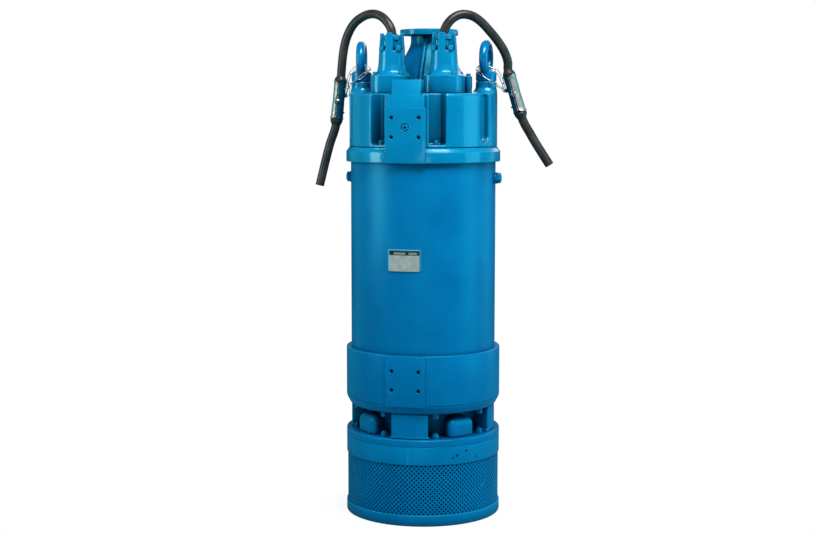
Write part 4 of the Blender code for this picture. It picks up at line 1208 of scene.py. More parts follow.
@dataclass
class Motor(Assembly):
    """The smooth jacket, the collar and pad round its foot, the rating plate and the side plugs."""

    enamel: ClassVar[str] = "plate_enamel"
    pad_back: float = -0.2993
    hole_heights: tuple[float, float] = (0.543, 0.618)
    plug_height: float = 1.364
    plate_turn: float = 1.25
    plate_widening: float = 0.0023
    plate_back: float = -0.0020             # from the jacket's own skin
    plate_front: float = 0.0012
    plate_corner: float = 0.006
    plate_strips: int = 16

    def build(self) -> None:
        """Model the motor from its foot up."""
        self.jacket()
        self.collar()
        self.lower_pad()
        self.plate()
        for side in Side:
            self.side_plug(side)

    def jacket(self) -> None:
        """Turn the rolled jacket."""
        jacket = Extent.of("motor_jacket")
        profile = disc(jacket.radius, jacket.bottom, jacket.top, 0.001, 0.001)
        self.painted(Blank.turned("smooth_jacket", profile, 192), "motor_jacket")

    def collar(self) -> None:
        """Turn the collar and cut the flat that the pad is set in."""
        collar, jacket = Extent.of("lower_collar"), Extent.of("motor_jacket")
        profile = hoop(jacket.radius + FIT, collar.radius, collar.bottom, collar.top, 0.002, 0.0035)
        ring = Blank.turned("motor_collar", profile, SIDES)
        self.painted(ring.cut(pad_room(self.pad_back, collar.bottom - 0.1, collar.top + 0.1)), "lower_collar")

    def lower_pad(self) -> None:
        """Shape the lower mounting pad, its foot cut to the flange that it overlaps."""
        low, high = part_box("lower_pad")
        pad = Blank.box("lower_mounting_pad", tuple(low), tuple(high)).soften(PAD_ROUNDING)
        rim = Extent.of("casing_flange")
        foot = Blank.cylinder("pad_foot", rim.radius + FIT, low.z - 0.1, rim.top + FIT, SIDES)
        pad.cut(foot, *pad_holes(self.hole_heights, low.y))
        self.painted(pad, "lower_pad")

    def plate(self) -> None:
        """Cut the rating plate with round corners, divide it and roll it to the jacket."""
        low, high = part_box("nameplate")
        radius = -low.y
        half = radius * math.asin(high.x / radius) + self.plate_widening
        plate = Blank.box("rating_plate", (-half, self.plate_back, low.z), (half, self.plate_front, high.z))
        plate.round_edges(lambda a, b: abs(a.y - b.y) > 0.0005, self.plate_corner, 4)
        with plate.shaping(Part.EDGE):
            for step in range(1, self.plate_strips):
                bpy.ops.mesh.select_all(action="SELECT")
                x = (2.0 * step / self.plate_strips - 1.0) * half
                bpy.ops.mesh.bisect(plane_co=(x, 0.0, 0.0), plane_no=(1.0, 0.0, 0.0))
        plate.roll(radius).tidy()
        plate.move(facing(-self.plate_turn)).soften(0.0003, 1, 60.0)
        plate.finish(self.finishes.rating, Slot.PLATE, "nameplate")

    def side_plug(self, side: Side) -> None:
        """Turn a round boss and set a hexagon plug on it."""
        jacket, node = Extent.of("motor_jacket"), side.of("side_plug")
        low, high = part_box(node)
        end = max(abs(low.x), abs(high.x)) - jacket.radius - FIT
        boss = Blank.turned(side.of("drain_plug"), disc(0.0225, 0.0, 0.0105, 0.0, 0.002), 40)
        head = HexBolt(0.036, end - 0.010, 0.002).blank("plug_head")
        boss.join(head.move(placed(0.0, 0.0, 0.010, 0.35)))
        start = side.value * (jacket.radius + FIT)
        self.painted(boss.move(placed(start, 0.0, self.plug_height, side.value * math.pi / 2, "Y")), node)


def pad_room(back: float, bottom: float, top: float) -> Blank:
    """Return the solid that cuts the flat behind a mounting pad."""
    reach = PAD_HALF_WIDTH + FIT
    return Blank.box("pad_room", (-reach, -0.4, bottom), (reach, back + FIT, top))


def pad_holes(heights: Sequence[float], face: float, radius: float = 0.0075,
              depth: float = 0.013) -> list[Blank]:
    """Return the solids that drill a mounting pad's four countersunk holes.

    Args:
        heights: The heights of the two rows.
        face: The pad's front in Y.
        radius: The holes' radius.
        depth: Their depth.

    Returns:
        Four drills, which lie along Y.
    """
    chamfer = 0.0016
    drill = [
        (0.0, -depth), (radius - 0.001, -depth), (radius - 0.001, -depth * 0.5), (radius, -depth * 0.5),
        (radius, -chamfer), (radius + 2 * chamfer, chamfer), (0.0, chamfer),
    ]
    drills = []
    for height in heights:
        for x in (-HOLE_SPAN, HOLE_SPAN):
            lying = placed(x, face, height, math.pi / 2, "X")
            drills.append(Blank.turned("pad_drill", drill, 24).move(lying))
    return drills


@dataclass
class Head(Assembly):
    """The head over the motor: its ring, the casting with pockets and slots, and the upper pad."""

    pocket_bearing: float = 23.8
    pocket_half_angle: float = 6.4
    pocket_radius: float = 0.238
    pocket_floor: float = 1.5006
    pocket_top: float = 1.720               # open above, like the slots
    slot_bearing: float = 68.2
    slot_width: float = 0.062
    slot_bottom: float = 1.506
    slot_top: float = 1.760
    slot_radius: float = 0.268
    slot_lip: float = 0.012
    slot_lip_depth: float = 0.007
    bolt_circle: float = 0.268
    screw: HexBolt = HexBolt(0.020, 0.018)
    pad_back: float = -0.2853
    pad_top: float = 1.646
    waist_half_width: float = 0.0745
    waist_face: float = -0.3095
    waist_top: float = 1.694
    crest_half_width: float = 0.0565
    crest_face: float = -0.2985
    crest_step: float = 1.7003              # where its back rests on the casting
    crest_back: float = -0.225
    hole_heights: tuple[float, float] = (1.531, 1.606)
    plug_height: float = 1.5685
    plug_place: Point = (0.192, -0.034)
    boss_radius: float = 0.0412             # at its top; its flare follows
    boss_flare: tuple[Place, ...] = ((0.0418, 1.722, 0.012), (0.053, 1.704, 0.020), (0.085, 1.6975, 0.0))
    boss_bottom: float = 1.680
    boss_limit: float = 0.298               # how far it reaches from the pump's axis

    def build(self) -> None:
        """Model the head from its ring up."""
        self.ring()
        self.casting()
        self.pocket_screws()
        self.upper_pad()
        self.pad_plug()
        self.oil_plug()

    def pad_flat(self) -> Blank:
        """Return the solid that cuts the flat behind the upper pad."""
        return pad_room(self.pad_back, 1.33, 1.80)

    def ring(self) -> None:
        """Turn the ring over the jacket, with a groove above it."""
        ring = Extent.of("head_ring")
        profile = rounded(
            (0.0, ring.top), (0.2995, ring.top), (0.301, 1.4835, 0.003), (0.309, 1.473, 0.002),
            (ring.radius, 1.471, 0.0015), (ring.radius, ring.bottom, 0.003), (0.0, ring.bottom),
        )
        self.painted(Blank.turned("motor_ring", profile, SIDES).cut(self.pad_flat()), "head_ring")

    def casting(self) -> None:
        """Cut the pockets and slots, and fuse the bosses of the lifting eyes to the casting."""
        head = Extent.of("head_casting")
        profile = disc(head.radius, head.bottom, head.top, 0.001, 0.011)
        body = Blank.turned("head_body", profile, SIDES).cut(self.pad_flat())
        for degrees in four_ways(self.pocket_bearing):
            pocket = Blank.arched("pocket", self.pocket_radius, head.radius + 0.05, self.pocket_floor,
                                  self.pocket_top, self.pocket_half_angle)
            body.cut(pocket.soften(0.008).move(facing(degrees)))
        lip_width = self.slot_width + self.slot_lip
        for degrees in four_ways(self.slot_bearing):
            slot = Blank.stadium("slot", self.slot_width, self.slot_bottom, self.slot_top, 0.1)
            body.cut(slot.soften(0.006).move(facing(degrees, self.slot_radius + 0.05)))
            lip = Blank.stadium("slot_lip", lip_width, self.slot_bottom - 0.003, self.slot_top, 0.1)
            body.cut(lip.soften(0.005).move(facing(degrees, head.radius - self.slot_lip_depth + 0.05)))
        for side in Side:
            body.join(self.eye_boss(side))
        body.melt(0.0037, 4)
        self.painted(body, "head_casting", "eye_boss_left", "eye_boss_right", smooth=60.0)

    def eye_boss(self, side: Side) -> Blank:
        """Return the boss that carries a lifting eye, flush with the casting's side."""
        top = Extent.of("eye_boss_right").top
        profile = rounded(
            (0.0, top), (self.boss_radius, top, 0.0005), *self.boss_flare, (0.0, self.boss_bottom))
        boss = Blank.turned("eye_boss", profile, SMALL_SIDES, (side.value * EYE_X, 0.0))
        return boss.work(Operation.KEEP, Blank.cylinder("boss_limit", self.boss_limit, 1.60, 1.85, SIDES))

    def pocket_screws(self) -> None:
        """Stand a screw on the floor of each pocket."""
        places = [facing(degrees, self.bolt_circle, self.pocket_floor) @ placed(0.0, 0.0, 0.0, 0.3)
                  for degrees in four_ways(self.pocket_bearing)]
        self.painted(self.screw.blank("pocket_screws").spread(places))

    def slab(self, name: str, half_width: float, outline: Sequence[Point]) -> Blank:
        """Return a solid of a side outline in Y and Z, as wide as the pad is there."""
        places = [(-half_width, y, z) for y, z in outline]
        return Blank.swept(name, places, (2 * half_width, 0.0, 0.0)).soften(PAD_ROUNDING)

    def lying(self) -> Matrix:
        """Return the frame of the pad's plug: Z points out of the pad's face."""
        return placed(0.0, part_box("upper_pad")[0].y, self.plug_height, math.pi / 2, "X")

    def upper_pad(self) -> None:
        """Build the upper pad up from three slabs, each narrower and further back, and drill it."""
        low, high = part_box("upper_pad")
        back, crest_back = self.pad_back, self.pad_back - 0.0002
        pad = self.slab("upper_mounting_pad", PAD_HALF_WIDTH, [
            (low.y, low.z), (back, low.z), (back, self.pad_top), (low.y, self.pad_top)])
        waist = self.slab("waist", self.waist_half_width, [
            (self.waist_face, 1.626), (back, 1.626), (back, self.waist_top), (-0.302, self.waist_top),
            (self.waist_face, self.pad_top)])
        crest = self.slab("crest", self.crest_half_width, [
            (self.crest_face, 1.674), (crest_back, 1.674), (crest_back, self.crest_step),
            (self.crest_back, self.crest_step), (self.crest_back, high.z), (-0.284, high.z),
            (self.crest_face, self.waist_top)])
        pad.work(Operation.ADD, waist, crest)
        pad.cut(*pad_holes(self.hole_heights, low.y))
        recess = [(0.0, -0.013), (0.016, -0.013), (0.016, -0.0012), (0.0184, 0.0012), (0.0, 0.0012)]
        pad.cut(Blank.turned("plug_recess", recess, 40).move(self.lying()))
        self.painted(pad, "upper_pad")

    def pad_plug(self) -> None:
        """Turn the plug in the pad, with a square socket in its middle."""
        plug = Blank.turned("oil_level_plug", disc(0.0135, -0.0125, -0.002, 0.0, 0.002), 40)
        socket = Blank.primitive("socket", bpy.ops.mesh.primitive_cylinder_add, vertices=4, radius=0.0072,
                                 depth=0.012, location=(0.0, 0.0, -0.003), rotation=(0.0, 0.0, 0.1))
        self.painted(plug.cut(socket).move(self.lying()), "pad_plug")

    def oil_plug(self) -> None:
        """Turn the round plug that stands on the head."""
        plug = Extent.of("oil_plug")
        head, stem, shoulder = 0.0092, plug.radius - 0.001, plug.top - 0.011
        profile = rounded(
            (0.0, plug.top), (head, plug.top, 0.0025), (head, shoulder, 0.001),
            (plug.radius, shoulder, 0.0025), (plug.radius, 1.722, 0.001),
            (stem, 1.720, 0.001), (stem, plug.bottom), (0.0, plug.bottom),
        )
        self.painted(Blank.turned("oil_filler", profile, SMALL_SIDES, self.plug_place), "oil_plug")


@dataclass
class CableGland(Assembly):
    """One cable gland: a square foot, a tapered tower with screw pockets, and the ring at its top."""

    side: Side = Side.LEFT
    foot_half: float = 0.080
    foot_corner: float = 0.056
    foot_bolt_offset: float = 0.0555
    top_radius: float = 0.0475
    socket_radius: float = 0.0195
    socket_floor: float = 1.905
    ring_radius: float = 0.036
    ring_bottom: float = 1.9115
    pocket_radius: float = 0.0235
    pocket_offset: float = 0.0510
    pocket_floor: float = 1.868
    pocket_screw: HexBolt = HexBolt(0.021, 0.020)
    foot_screw: HexBolt = HexBolt(0.016, 0.014, 0.002)
    ear_top: float = 1.938
    skirt_radius: float = 0.077
    flare: tuple[Place, ...] = ((0.0545, 1.812, 0.05), (0.0600, 1.786, 0.02))

    @property
    def centre(self) -> Point:
        """Return the gland's axis."""
        return self.side.value * GLAND_X, GLAND_Y

    def build(self) -> None:
        """Model the gland from its foot up."""
        self.casting()
        self.screws()
        self.ring()

    def casting(self) -> None:
        """Fuse the foot, the tower and the ears between the pockets, and cut the pockets."""
        nodes = self.side.of("gland_base"), self.side.of("gland_tower")
        foot, tower = (Extent.of(node) for node in nodes)
        centre, foot_top, skirt = self.centre, tower.bottom, tower.bottom - 0.010
        base = self.square("foot", foot.bottom, foot_top).soften(0.003, 3, 50.0)
        profile = rounded(
            (0.0, tower.top), (self.top_radius, tower.top, 0.002), *self.flare,
            (0.0700, foot_top + 0.002, 0.01), (self.skirt_radius, foot_top),
            (self.skirt_radius, skirt), (0.0, skirt),
        )
        body = Blank.turned(self.side.of("gland_casting"), profile, 64, centre)
        for quarter in range(4):
            ear = Blank.arched("ear", 0.030, self.top_radius, 1.90, self.ear_top, 17.0, 4)
            body.work(Operation.ADD, ear.move(placed(*centre, 0.0, math.radians(90.0 * quarter))))
        for quarter in range(4):
            place = self.corner(self.pocket_offset, quarter)
            body.cut(Blank.cylinder("pocket", self.pocket_radius, self.pocket_floor, CUT_TOP, 32, place))
        room = self.ring_radius + FIT
        body.cut(Blank.cylinder("ring_room", room, self.ring_bottom - FIT, CUT_TOP, 48, centre))
        body.cut(Blank.cylinder("socket", self.socket_radius, self.socket_floor, CUT_TOP, 40, centre))
        body.join(base).melt(0.0020, 2)
        self.painted(body, *nodes, smooth=60.0)

    def corner(self, reach: float, quarter: int) -> Point:
        """Return the X and Y of a spot towards one of the tower's pockets."""
        x, y = bearing(reach, 45.0 + 90.0 * quarter)
        return self.centre[0] + x, self.centre[1] + y

    def square(self, name: str, bottom: float, top: float) -> Blank:
        """Return the upright block of the gland's foot, its corners rounded."""
        (x, y), half = self.centre, self.foot_half
        block = Blank.box(name, (x - half, y - half, bottom), (x + half, y + half, top))
        block.round_edges(lambda a, b: abs(a.z - b.z) > 0.01, self.foot_corner, 12)
        return block

    def screws(self) -> None:
        """Set the screws in the pockets and in the foot's corners."""
        (x, y), offset = self.centre, self.foot_bolt_offset
        places = [placed(*self.corner(self.pocket_offset - 0.005, quarter), self.pocket_floor, 0.5 * quarter)
                  for quarter in range(4)]
        pocket = self.pocket_screw.blank(self.side.of("gland_screws")).spread(places)
        top = Extent.of(self.side.of("gland_tower")).bottom
        corners = [placed(x + dx, y + dy, top) for dx in (-offset, offset) for dy in (-offset, offset)]
        self.painted(pocket.join(self.foot_screw.blank("foot_screws").spread(corners)))

    def ring(self) -> None:
        """Turn the ring that presses the seal round the cable, and the seal itself."""
        inner, outer, bottom = 0.0205, self.ring_radius, self.ring_bottom
        ring = rounded(
            (inner, bottom), (outer, bottom, 0.001), (outer, 1.930, 0.002), (inner, 1.931, 0.001),
            (inner, bottom))
        self.painted(Blank.turned(self.side.of("gland_ring"), ring, SMALL_SIDES, self.centre))
        seal = rounded(
            (0.0182, 1.915), (0.0203, 1.915), (0.0203, 1.934, 0.0015), (0.0182, 1.936), (0.0182, 1.915))
        rubber = Blank.turned(self.side.of("gland_seal"), seal, SMALL_SIDES, self.centre)
        rubber.finish(self.finishes.rubber, Slot.RUBBER)


@dataclass
class Discharge(Assembly):
    """The discharge casing that flares down onto the head, and its drilled flange."""

    y: float = 0.103
    bore: float = 0.050
    bore_floor: float = 1.790
    neck_radius: float = 0.0745
    flare: tuple[Place, ...] = (
        (0.080, 1.888, 0.02), (0.115, 1.821, 0.05), (0.143, 1.777, 0.03), (0.158, 1.748, 0.02),
        (0.160, 1.735, 0.01))
    rib_outline: tuple[Point, ...] = (
        (0.0645, 1.9285), (0.0865, 1.9285), (0.0925, 1.890), (0.150, 1.790), (0.1655, 1.750),
        (0.1655, 1.712), (0.100, 1.712))
    rib_thickness: float = 0.016
    face_radius: float = 0.0825             # of the raised face
    face_height: float = 0.0015
    holes: int = 8
    hole_radius: float = 0.009
    hole_circle: float = 0.0965

    def build(self) -> None:
        """Model the casing and the flange on it."""
        self.casing()
        self.flange()

    def casing(self) -> None:
        """Fuse the flared neck and its two ribs, and make room for the glands' feet."""
        casing = Extent.of("discharge_casing")
        profile = rounded(
            (0.0, self.bore_floor), (self.bore, self.bore_floor), (self.bore, casing.top),
            (self.neck_radius, casing.top), (self.neck_radius, 1.905, 0.03), *self.flare,
            (self.flare[-1][0], casing.bottom), (0.0, casing.bottom),
        )
        body = Blank.turned("discharge_body", profile, 96, (0.0, self.y))
        half = self.rib_thickness / 2
        for sign in (-1, 1):
            outline = [(-half, self.y + sign * reach, height) for reach, height in self.rib_outline]
            rib = Blank.swept("rib", outline, (self.rib_thickness, 0.0, 0.0)).soften(0.004)
            body.work(Operation.ADD, rib)
        for side in Side:
            body.cut(CableGland(self.finishes, side).square("foot_room", 1.60, 1.774))
        body.melt(0.003, 4)
        # Painted shade: the casing takes the darker casting enamel for the shade under its flange and between
        # the glands, while the flange keeps the head's brighter enamel.
        body.finish(self.finishes.cast_enamel, Slot.ENAMEL, "discharge_casing", smooth=60.0)

    def flange(self) -> None:
        """Turn the flange with its raised face and drill it."""
        flange = Extent.of("discharge_flange")
        shoulder = flange.top - self.face_height
        profile = rounded(
            (self.bore, flange.bottom), (flange.radius, flange.bottom, 0.0015),
            (flange.radius, shoulder, 0.0015), (self.face_radius + 0.0005, shoulder, 0.0005),
            (self.face_radius, flange.top, 0.0005),
            (self.bore, flange.top, 0.002), (self.bore, flange.bottom),
        )
        plate = Blank.turned("outlet_flange", profile, 128, (0.0, self.y))
        pitch = 360.0 / self.holes
        for i in range(self.holes):
            x, y = bearing(self.hole_circle, (i + 0.5) * pitch)
            plate.cut(Blank.cylinder("bolt_hole", self.hole_radius, 1.90, CUT_TOP, 32, (x, self.y + y)))
        self.painted(plate, "discharge_flange")


@dataclass
class LiftingEye(Assembly):
    """One lifting eye: a forged ring on a round collar."""

    enamel: ClassVar[str] = "eye_enamel"
    side: Side = Side.LEFT
    height: float = 1.838
    ring_radius: float = 0.057
    bar_radius: float = 0.018
    stem: tuple[Place, ...] = ((0.018, 1.800, 0.004), (0.028, 1.789, 0.008), (0.0412, 1.786, 0.005))

    def build(self) -> None:
        """Fuse the ring with its stem and collar."""
        node = self.side.of("lifting_eye")
        bottom = Extent.of(node).bottom
        profile = rounded((0.0, self.stem[0][1]), *self.stem, (self.stem[-1][0], bottom), (0.0, bottom))
        eye = Blank.turned(self.side.of("forged_eye"), profile, SMALL_SIDES, (self.side.value * EYE_X, 0.0))
        ring = Blank.primitive("ring", bpy.ops.mesh.primitive_torus_add, major_segments=64, minor_segments=28,
                               major_radius=self.ring_radius, minor_radius=self.bar_radius,
                               rotation=(0.0, math.pi / 2, 0.0))
        ring.move(eye_frame(self.side) @ placed(0.0, 0.0, self.height))
        self.painted(eye.join(ring).melt(0.0022, 4), node, smooth=60.0)


@dataclass(frozen=True)
class Route:
    """Where one cable runs, as the solids have it."""

    clamp_top: Place
    clamp_bottom: Place
    arch: tuple[Place, ...]                 # between its gland and its clamp
    tail: tuple[Place, Place]               # below its clamp


ROUTES = {
    Side.LEFT: Route(
        clamp_top=(-0.3590, 0.043, 1.752),
        clamp_bottom=(-0.3765, 0.042, 1.597),
        arch=((-0.1330, -0.083, 1.988), (-0.1700, -0.063, 2.0125), (-0.2090, -0.040, 2.018),
              (-0.2500, -0.016, 2.0075), (-0.2920, 0.008, 1.9815), (-0.3190, 0.024, 1.946),
              (-0.3370, 0.034, 1.905), (-0.3470, 0.040, 1.862), (-0.3530, 0.042, 1.815)),
        tail=((-0.4050, 0.039, 1.495), (-0.4474, 0.030, 1.3245))),
    Side.RIGHT: Route(
        clamp_top=(0.3425, 0.043, 1.773),
        clamp_bottom=(0.3885, 0.042, 1.625),
        arch=((0.1250, -0.086, 1.981), (0.1620, -0.065, 2.0085), (0.2070, -0.038, 2.005),
              (0.2380, -0.018, 1.983), (0.2680, 0.002, 1.949), (0.3020, 0.022, 1.904),
              (0.3260, 0.036, 1.861), (0.3370, 0.042, 1.824)),
        tail=((0.4350, 0.039, 1.532), (0.5099, 0.030, 1.4168))),
}

# The chain's line round a lifting eye: away from the pump, across and up, from the eye's own axis.
CHAIN_LOOP = (
    (0.056, -0.027, 1.727), (0.036, -0.044, 1.743), (0.016, -0.0495, 1.755), (-0.003, -0.0495, 1.768),
    (-0.021, -0.0415, 1.783), (-0.033, -0.023, 1.794), (-0.035, -0.006, 1.802), (-0.022, 0.002, 1.810),
    (0.0, 0.003, 1.8115), (0.022, 0.004, 1.808), (0.040, 0.007, 1.793), (0.053, 0.009, 1.774),
)


@dataclass
class PowerCable(Assembly):
    """One power cable with its clamp, and the chain that holds the clamp to a lifting eye."""

    side: Side = Side.LEFT
    radius: float = 0.018
    step: float = 0.016                     # between the points of the cable's line
    socket_floor: float = 1.9053
    exit_top: float = 1.937
    straight: float = 0.016                 # straight cable beyond each end of its clamp
    cut_length: float = 0.0025
    sheath: float = 0.0035
    core_radius: float = 0.0049
    core_circle: float = 0.0072
    shell_profile: tuple[Point, ...] = (    # radius, and distance down from the clamp's end
        (0.0288, 0.0), (0.0266, 0.006), (0.0254, 0.016))
    shell_middle: tuple[Point, ...] = ((0.0250, 0.030), (0.0246, 0.014), (0.0238, 0.0))
    shell_wall: float = 0.0024
    lip_proud: float = 0.0042
    lip_wall: float = 0.0062
    lip_angle: float = 5.0
    seam_angle: float = 3.2
    notches: tuple[Point, ...] = ((0.017, 0.975), (0.011, 0.965), (0.006, 0.965))
    ear_near: float = 0.0235                # from the clamp's axis
    ear_far: float = 0.038
    ear_half_height: float = 0.017
    lug_reach: float = 0.035
    lug_height: float = 0.022
    lug_half: float = 0.0035
    nub_height: float = -0.048
    screw_offset: float = 0.032
    screw: HexBolt = HexBolt(0.0095, 0.0065, 0.0012)
    nut: HexBolt = HexBolt(0.0095, 0.0065, 0.0012, 0.002)
    link_pitch: float = 0.0370
    link_wire: float = 0.0016
    link_width: float = 0.0140

    @property
    def clamp_top(self) -> Vector:
        """Return where the clamp starts on the cable."""
        return Vector(ROUTES[self.side].clamp_top)

    @property
    def clamp_bottom(self) -> Vector:
        """Return where the clamp ends on the cable."""
        return Vector(ROUTES[self.side].clamp_bottom)

    @property
    def half_clamp(self) -> float:
        """Return half the clamp's length."""
        return (self.clamp_top - self.clamp_bottom).length / 2

    @property
    def down(self) -> Vector:
        """Return the direction in which the cable runs through its clamp."""
        return (self.clamp_bottom - self.clamp_top).normalized()

    def frame(self) -> Matrix:
        """Return the frame at the clamp's middle: Z runs up its axis and X points away from the pump."""
        up = -self.down
        outward = Vector((self.side.value, 0.0, 0.0))
        outward = (outward - up * outward.dot(up)).normalized()
        turn = Matrix((outward, up.cross(outward), up)).transposed().to_4x4()
        return Matrix.Translation((self.clamp_top + self.clamp_bottom) / 2) @ turn

    def route(self) -> list[Vector]:
        """Return the points along the cable, from its gland, through its clamp, to its cut end."""
        laid, lead = ROUTES[self.side], self.down * self.straight
        entry, leave = self.clamp_top - lead, self.clamp_bottom + lead
        x = self.side.value * GLAND_X
        start, top = Vector((x, GLAND_Y, self.socket_floor)), Vector((x, GLAND_Y, self.exit_top))
        arch = smooth_route([top, *laid.arch, entry], top - start, self.down, self.step)
        last = Vector(laid.tail[1]) - Vector(laid.tail[0])
        tail = smooth_route([leave, *laid.tail], self.down, last, self.step)
        tail[-1] = tail[-1] - last.normalized() * self.cut_length
        return [start, *arch, *tail]

    def build(self) -> None:
        """Model the cable, then what is on it."""
        sleeve = self.sleeve()
        halves = self.clamp_half(1, "outer") + self.clamp_half(-1, "inner")
        screws = [self.clamp_screw(end) for end in ("front", "back")]
        end = self.cut_end()
        self.cable([sleeve, *halves, *screws, end])
        self.chain()

    def cable(self, fittings: Sequence[Blank]) -> None:
        """Args:
            fittings: The pieces that are on the cable; not used.
        """
        name = self.side.of("power_cable")
        points = self.route()
        curve = bpy.data.curves.new(name, "CURVE")
        curve.dimensions = "3D"
        curve.bevel_depth = self.radius
        curve.bevel_resolution = 8
        curve.use_fill_caps = True
        spline = curve.splines.new("POLY")
        spline.points.add(len(points) - 1)
        for spot, place in zip(spline.points, points):
            spot.co = (*place, 1.0)
        spline.use_smooth = True
        curve.materials.append(self.finishes.rubber)
        cable = bpy.data.objects.new(name, curve)
        bpy.context.scene.collection.objects.link(cable)
        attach(cable, BODY)
        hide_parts(self.side.of("cable"))
        LOG.info("%s: %.3f m long", name, route_length(points))

    def cut_end(self) -> Blank:
        """Model the cable's cut end: the sheath's rim and the cores in it."""
        route = self.route()
        last = (route[-1] - route[-2]).normalized()
        turn = last.to_track_quat("Z", "Y").to_matrix().to_4x4()
        outer, inner, length = self.radius - 0.0002, self.radius - self.sheath, self.cut_length
        rim = rounded(
            (0.0, -0.004), (outer, -0.004), (outer, length, 0.0006), (inner, length, 0.0004), (inner, 0.0008),
            (0.0, 0.0008),
        )
        sheath = Blank.turned(self.side.of("cable_end"), rim, 40)
        for i in range(4):
            place = bearing(self.core_circle, 90.0 * i + 30.0)
            core = Blank.cylinder("core", self.core_radius, 0.0, length - 0.0004, 20, place)
            sheath.join(core.soften(0.0006, 2))
        sheath.move(Matrix.Translation(route[-1]) @ turn)
        return sheath.finish(self.finishes.rubber, Slot.RUBBER)

    def sleeve(self) -> Blank:
        """Turn the rubber sleeve in the clamp, which bulges out at both of its ends."""
        half, inner = self.half_clamp, self.radius + FIT
        profile = rounded(
            (inner, -half - 0.024), (0.0190, -half - 0.022, 0.004), (0.0262, -half - 0.007, 0.006),
            (0.0211, -half + 0.010, 0.004), (0.0211, half - 0.010, 0.004), (0.0262, half + 0.006, 0.005),
            (0.0190, half + 0.018, 0.004), (inner, half + 0.020), (inner, -half - 0.024),
        )
        sleeve = Blank.turned(self.side.of("clamp_lining"), profile, 40).move(self.frame())
        return sleeve.finish(self.finishes.rubber, Slot.RUBBER, self.side.of("clamp_sleeve"))

    def mouth(self, grow: float, wall: float) -> list[Point]:
        """Return the closed profile of a clamp half, pinched in the middle and flared at both mouths.

        Args:
            grow: How far the profile stands out from the shell's own outside.
            wall: How thick it is.

        Returns:
            The profile's points as (radius, height).
        """
        outside = [(radius, self.half_clamp - down) for radius, down in self.shell_profile]
        outside += self.shell_middle
        outside += [(radius, -height) for radius, height in reversed(outside[:-1])]
        inside = [(radius + grow - wall, height) for radius, height in reversed(outside)]
        return [(radius + grow, height) for radius, height in outside] + inside

    def notch(self, shell: Blank) -> Blank:
        """Draw the mouths in along the seams, so that the rims rise towards them."""
        with shell.shaping(Part.VERT):
            for reach, shrink in self.notches:
                shell.choose(Part.VERT, lambda vert, reach=reach: abs(vert.co.x) < reach)
                bpy.ops.transform.resize(value=(1.0, 1.0, shrink), center_override=(0.0, 0.0, 0.0))
        return shell

    def clamp_half(self, way: int, half_name: str) -> list[Blank]:
        """Model one half of the clamp: a pressed shell, and the bare lips and ears along its seams.

        Args:
            way: 1 for the half away from the pump and -1 for the other.
            half_name: The name of the half, as its node has it.

        Returns:
            The shell and its lips, finished.
        """
        shell, lips = self.shell_and_lips(self.side.of(half_name))
        for sign in (-1, 1):
            low, high = sorted((sign * self.ear_near, sign * self.ear_far))
            half = self.ear_half_height
            ear = Blank.box("ear", (0.0016, low, -half), (0.0046, high, half))
            ear.round_edges(lambda a, b: abs(a.x - b.x) > 0.002 and abs(a.y) > 0.03, 0.009, 5)
            lips.join(ear)
        away = way > 0
        if not away:
            lug = Blank.box("lug", (0.0235, -self.lug_half, self.lug_height - 0.008),
                            (self.lug_reach, self.lug_half, self.lug_height + 0.008)).soften(0.003)
            nub = Blank.cylinder("nub", 0.0035, 0.0, 0.0060, 16).soften(0.0012)
            shell.join(lug, nub.move(placed(0.0245, 0.0, self.nub_height, math.pi / 2, "Y")))
        turn = placed(0.0, 0.0, 0.0, 0.0 if away else math.pi)
        for blank in (shell, lips):
            blank.melt(0.0011, 3).move(self.frame() @ turn)
        metal = self.finishes.silver if away else self.finishes.dull_enamel
        slot = Slot.SILVER if away else Slot.ENAMEL
        shell.finish(metal, slot, self.side.of(f"clamp_{half_name}"), smooth=60.0)
        lips.finish(self.finishes.silver, Slot.SILVER, smooth=60.0)
        return [shell, lips]

    def shell_and_lips(self, label: str) -> tuple[Blank, Blank]:
        """Return a clamp half's shell and the lips along both of its seams.

        Args:
            label: The half's name with its side.

        Returns:
            The shell and the two lips in one mesh, both on the upright axis, facing +X.
        """
        gap, lip = self.seam_angle, self.lip_angle
        skin, rim = self.mouth(0.0, self.shell_wall), self.mouth(self.lip_proud, self.lip_wall)
        shell = Blank.sector(f"clamp_shell_{label}", skin, gap - 90.0, 180.0 - 2 * gap, 32)
        lips = Blank.sector(f"clamp_lips_{label}", rim, gap - 90.0, lip, 2)
        lips.join(Blank.sector("lip", rim, 90.0 - gap - lip, lip, 2))
        return self.notch(shell), self.notch(lips)

    def clamp_screw(self, end: str) -> Blank:
        """Model one screw through the clamp's ears, with a nut on its other end."""
        y = -self.screw_offset if end == "front" else self.screw_offset
        seat = placed(0.0, 0.0, 0.0045)
        head = self.screw.blank(self.side.of(f"clamp_screw_{end}")).move(seat)
        nut = self.nut.blank("nut").move(UPSIDE_DOWN @ seat)
        head.join(nut, Blank.cylinder("shank", 0.0028, -0.006, 0.006, 12))
        head.move(self.frame() @ placed(0.0, y, 0.0, math.pi / 2, "Y"))
        return head.finish(self.finishes.zinc, Slot.ZINC, self.side.of(f"clamp_bolt_{end}"))

    def chain_line(self) -> list[Vector]:
        """Return the points along the chain, from its clamp round its eye and back."""
        sign, frame = self.side.value, self.frame()
        beside = self.lug_half + 0.0038
        faces = [frame @ Vector((-self.lug_reach, y, self.lug_height)) for y in (-beside, beside)]
        near, far = sorted(faces, key=lambda place: place.y)
        eye = eye_frame(self.side)
        places = [eye @ Vector((sign * out, y, z)) for out, y, z in CHAIN_LOOP]
        lead_in, lead_out = Vector((-sign * 0.4, -1.0, 0.8)), Vector((sign * 0.5, -0.6, -1.0))
        return smooth_route([near, *places, far], lead_in, lead_out, self.link_pitch)

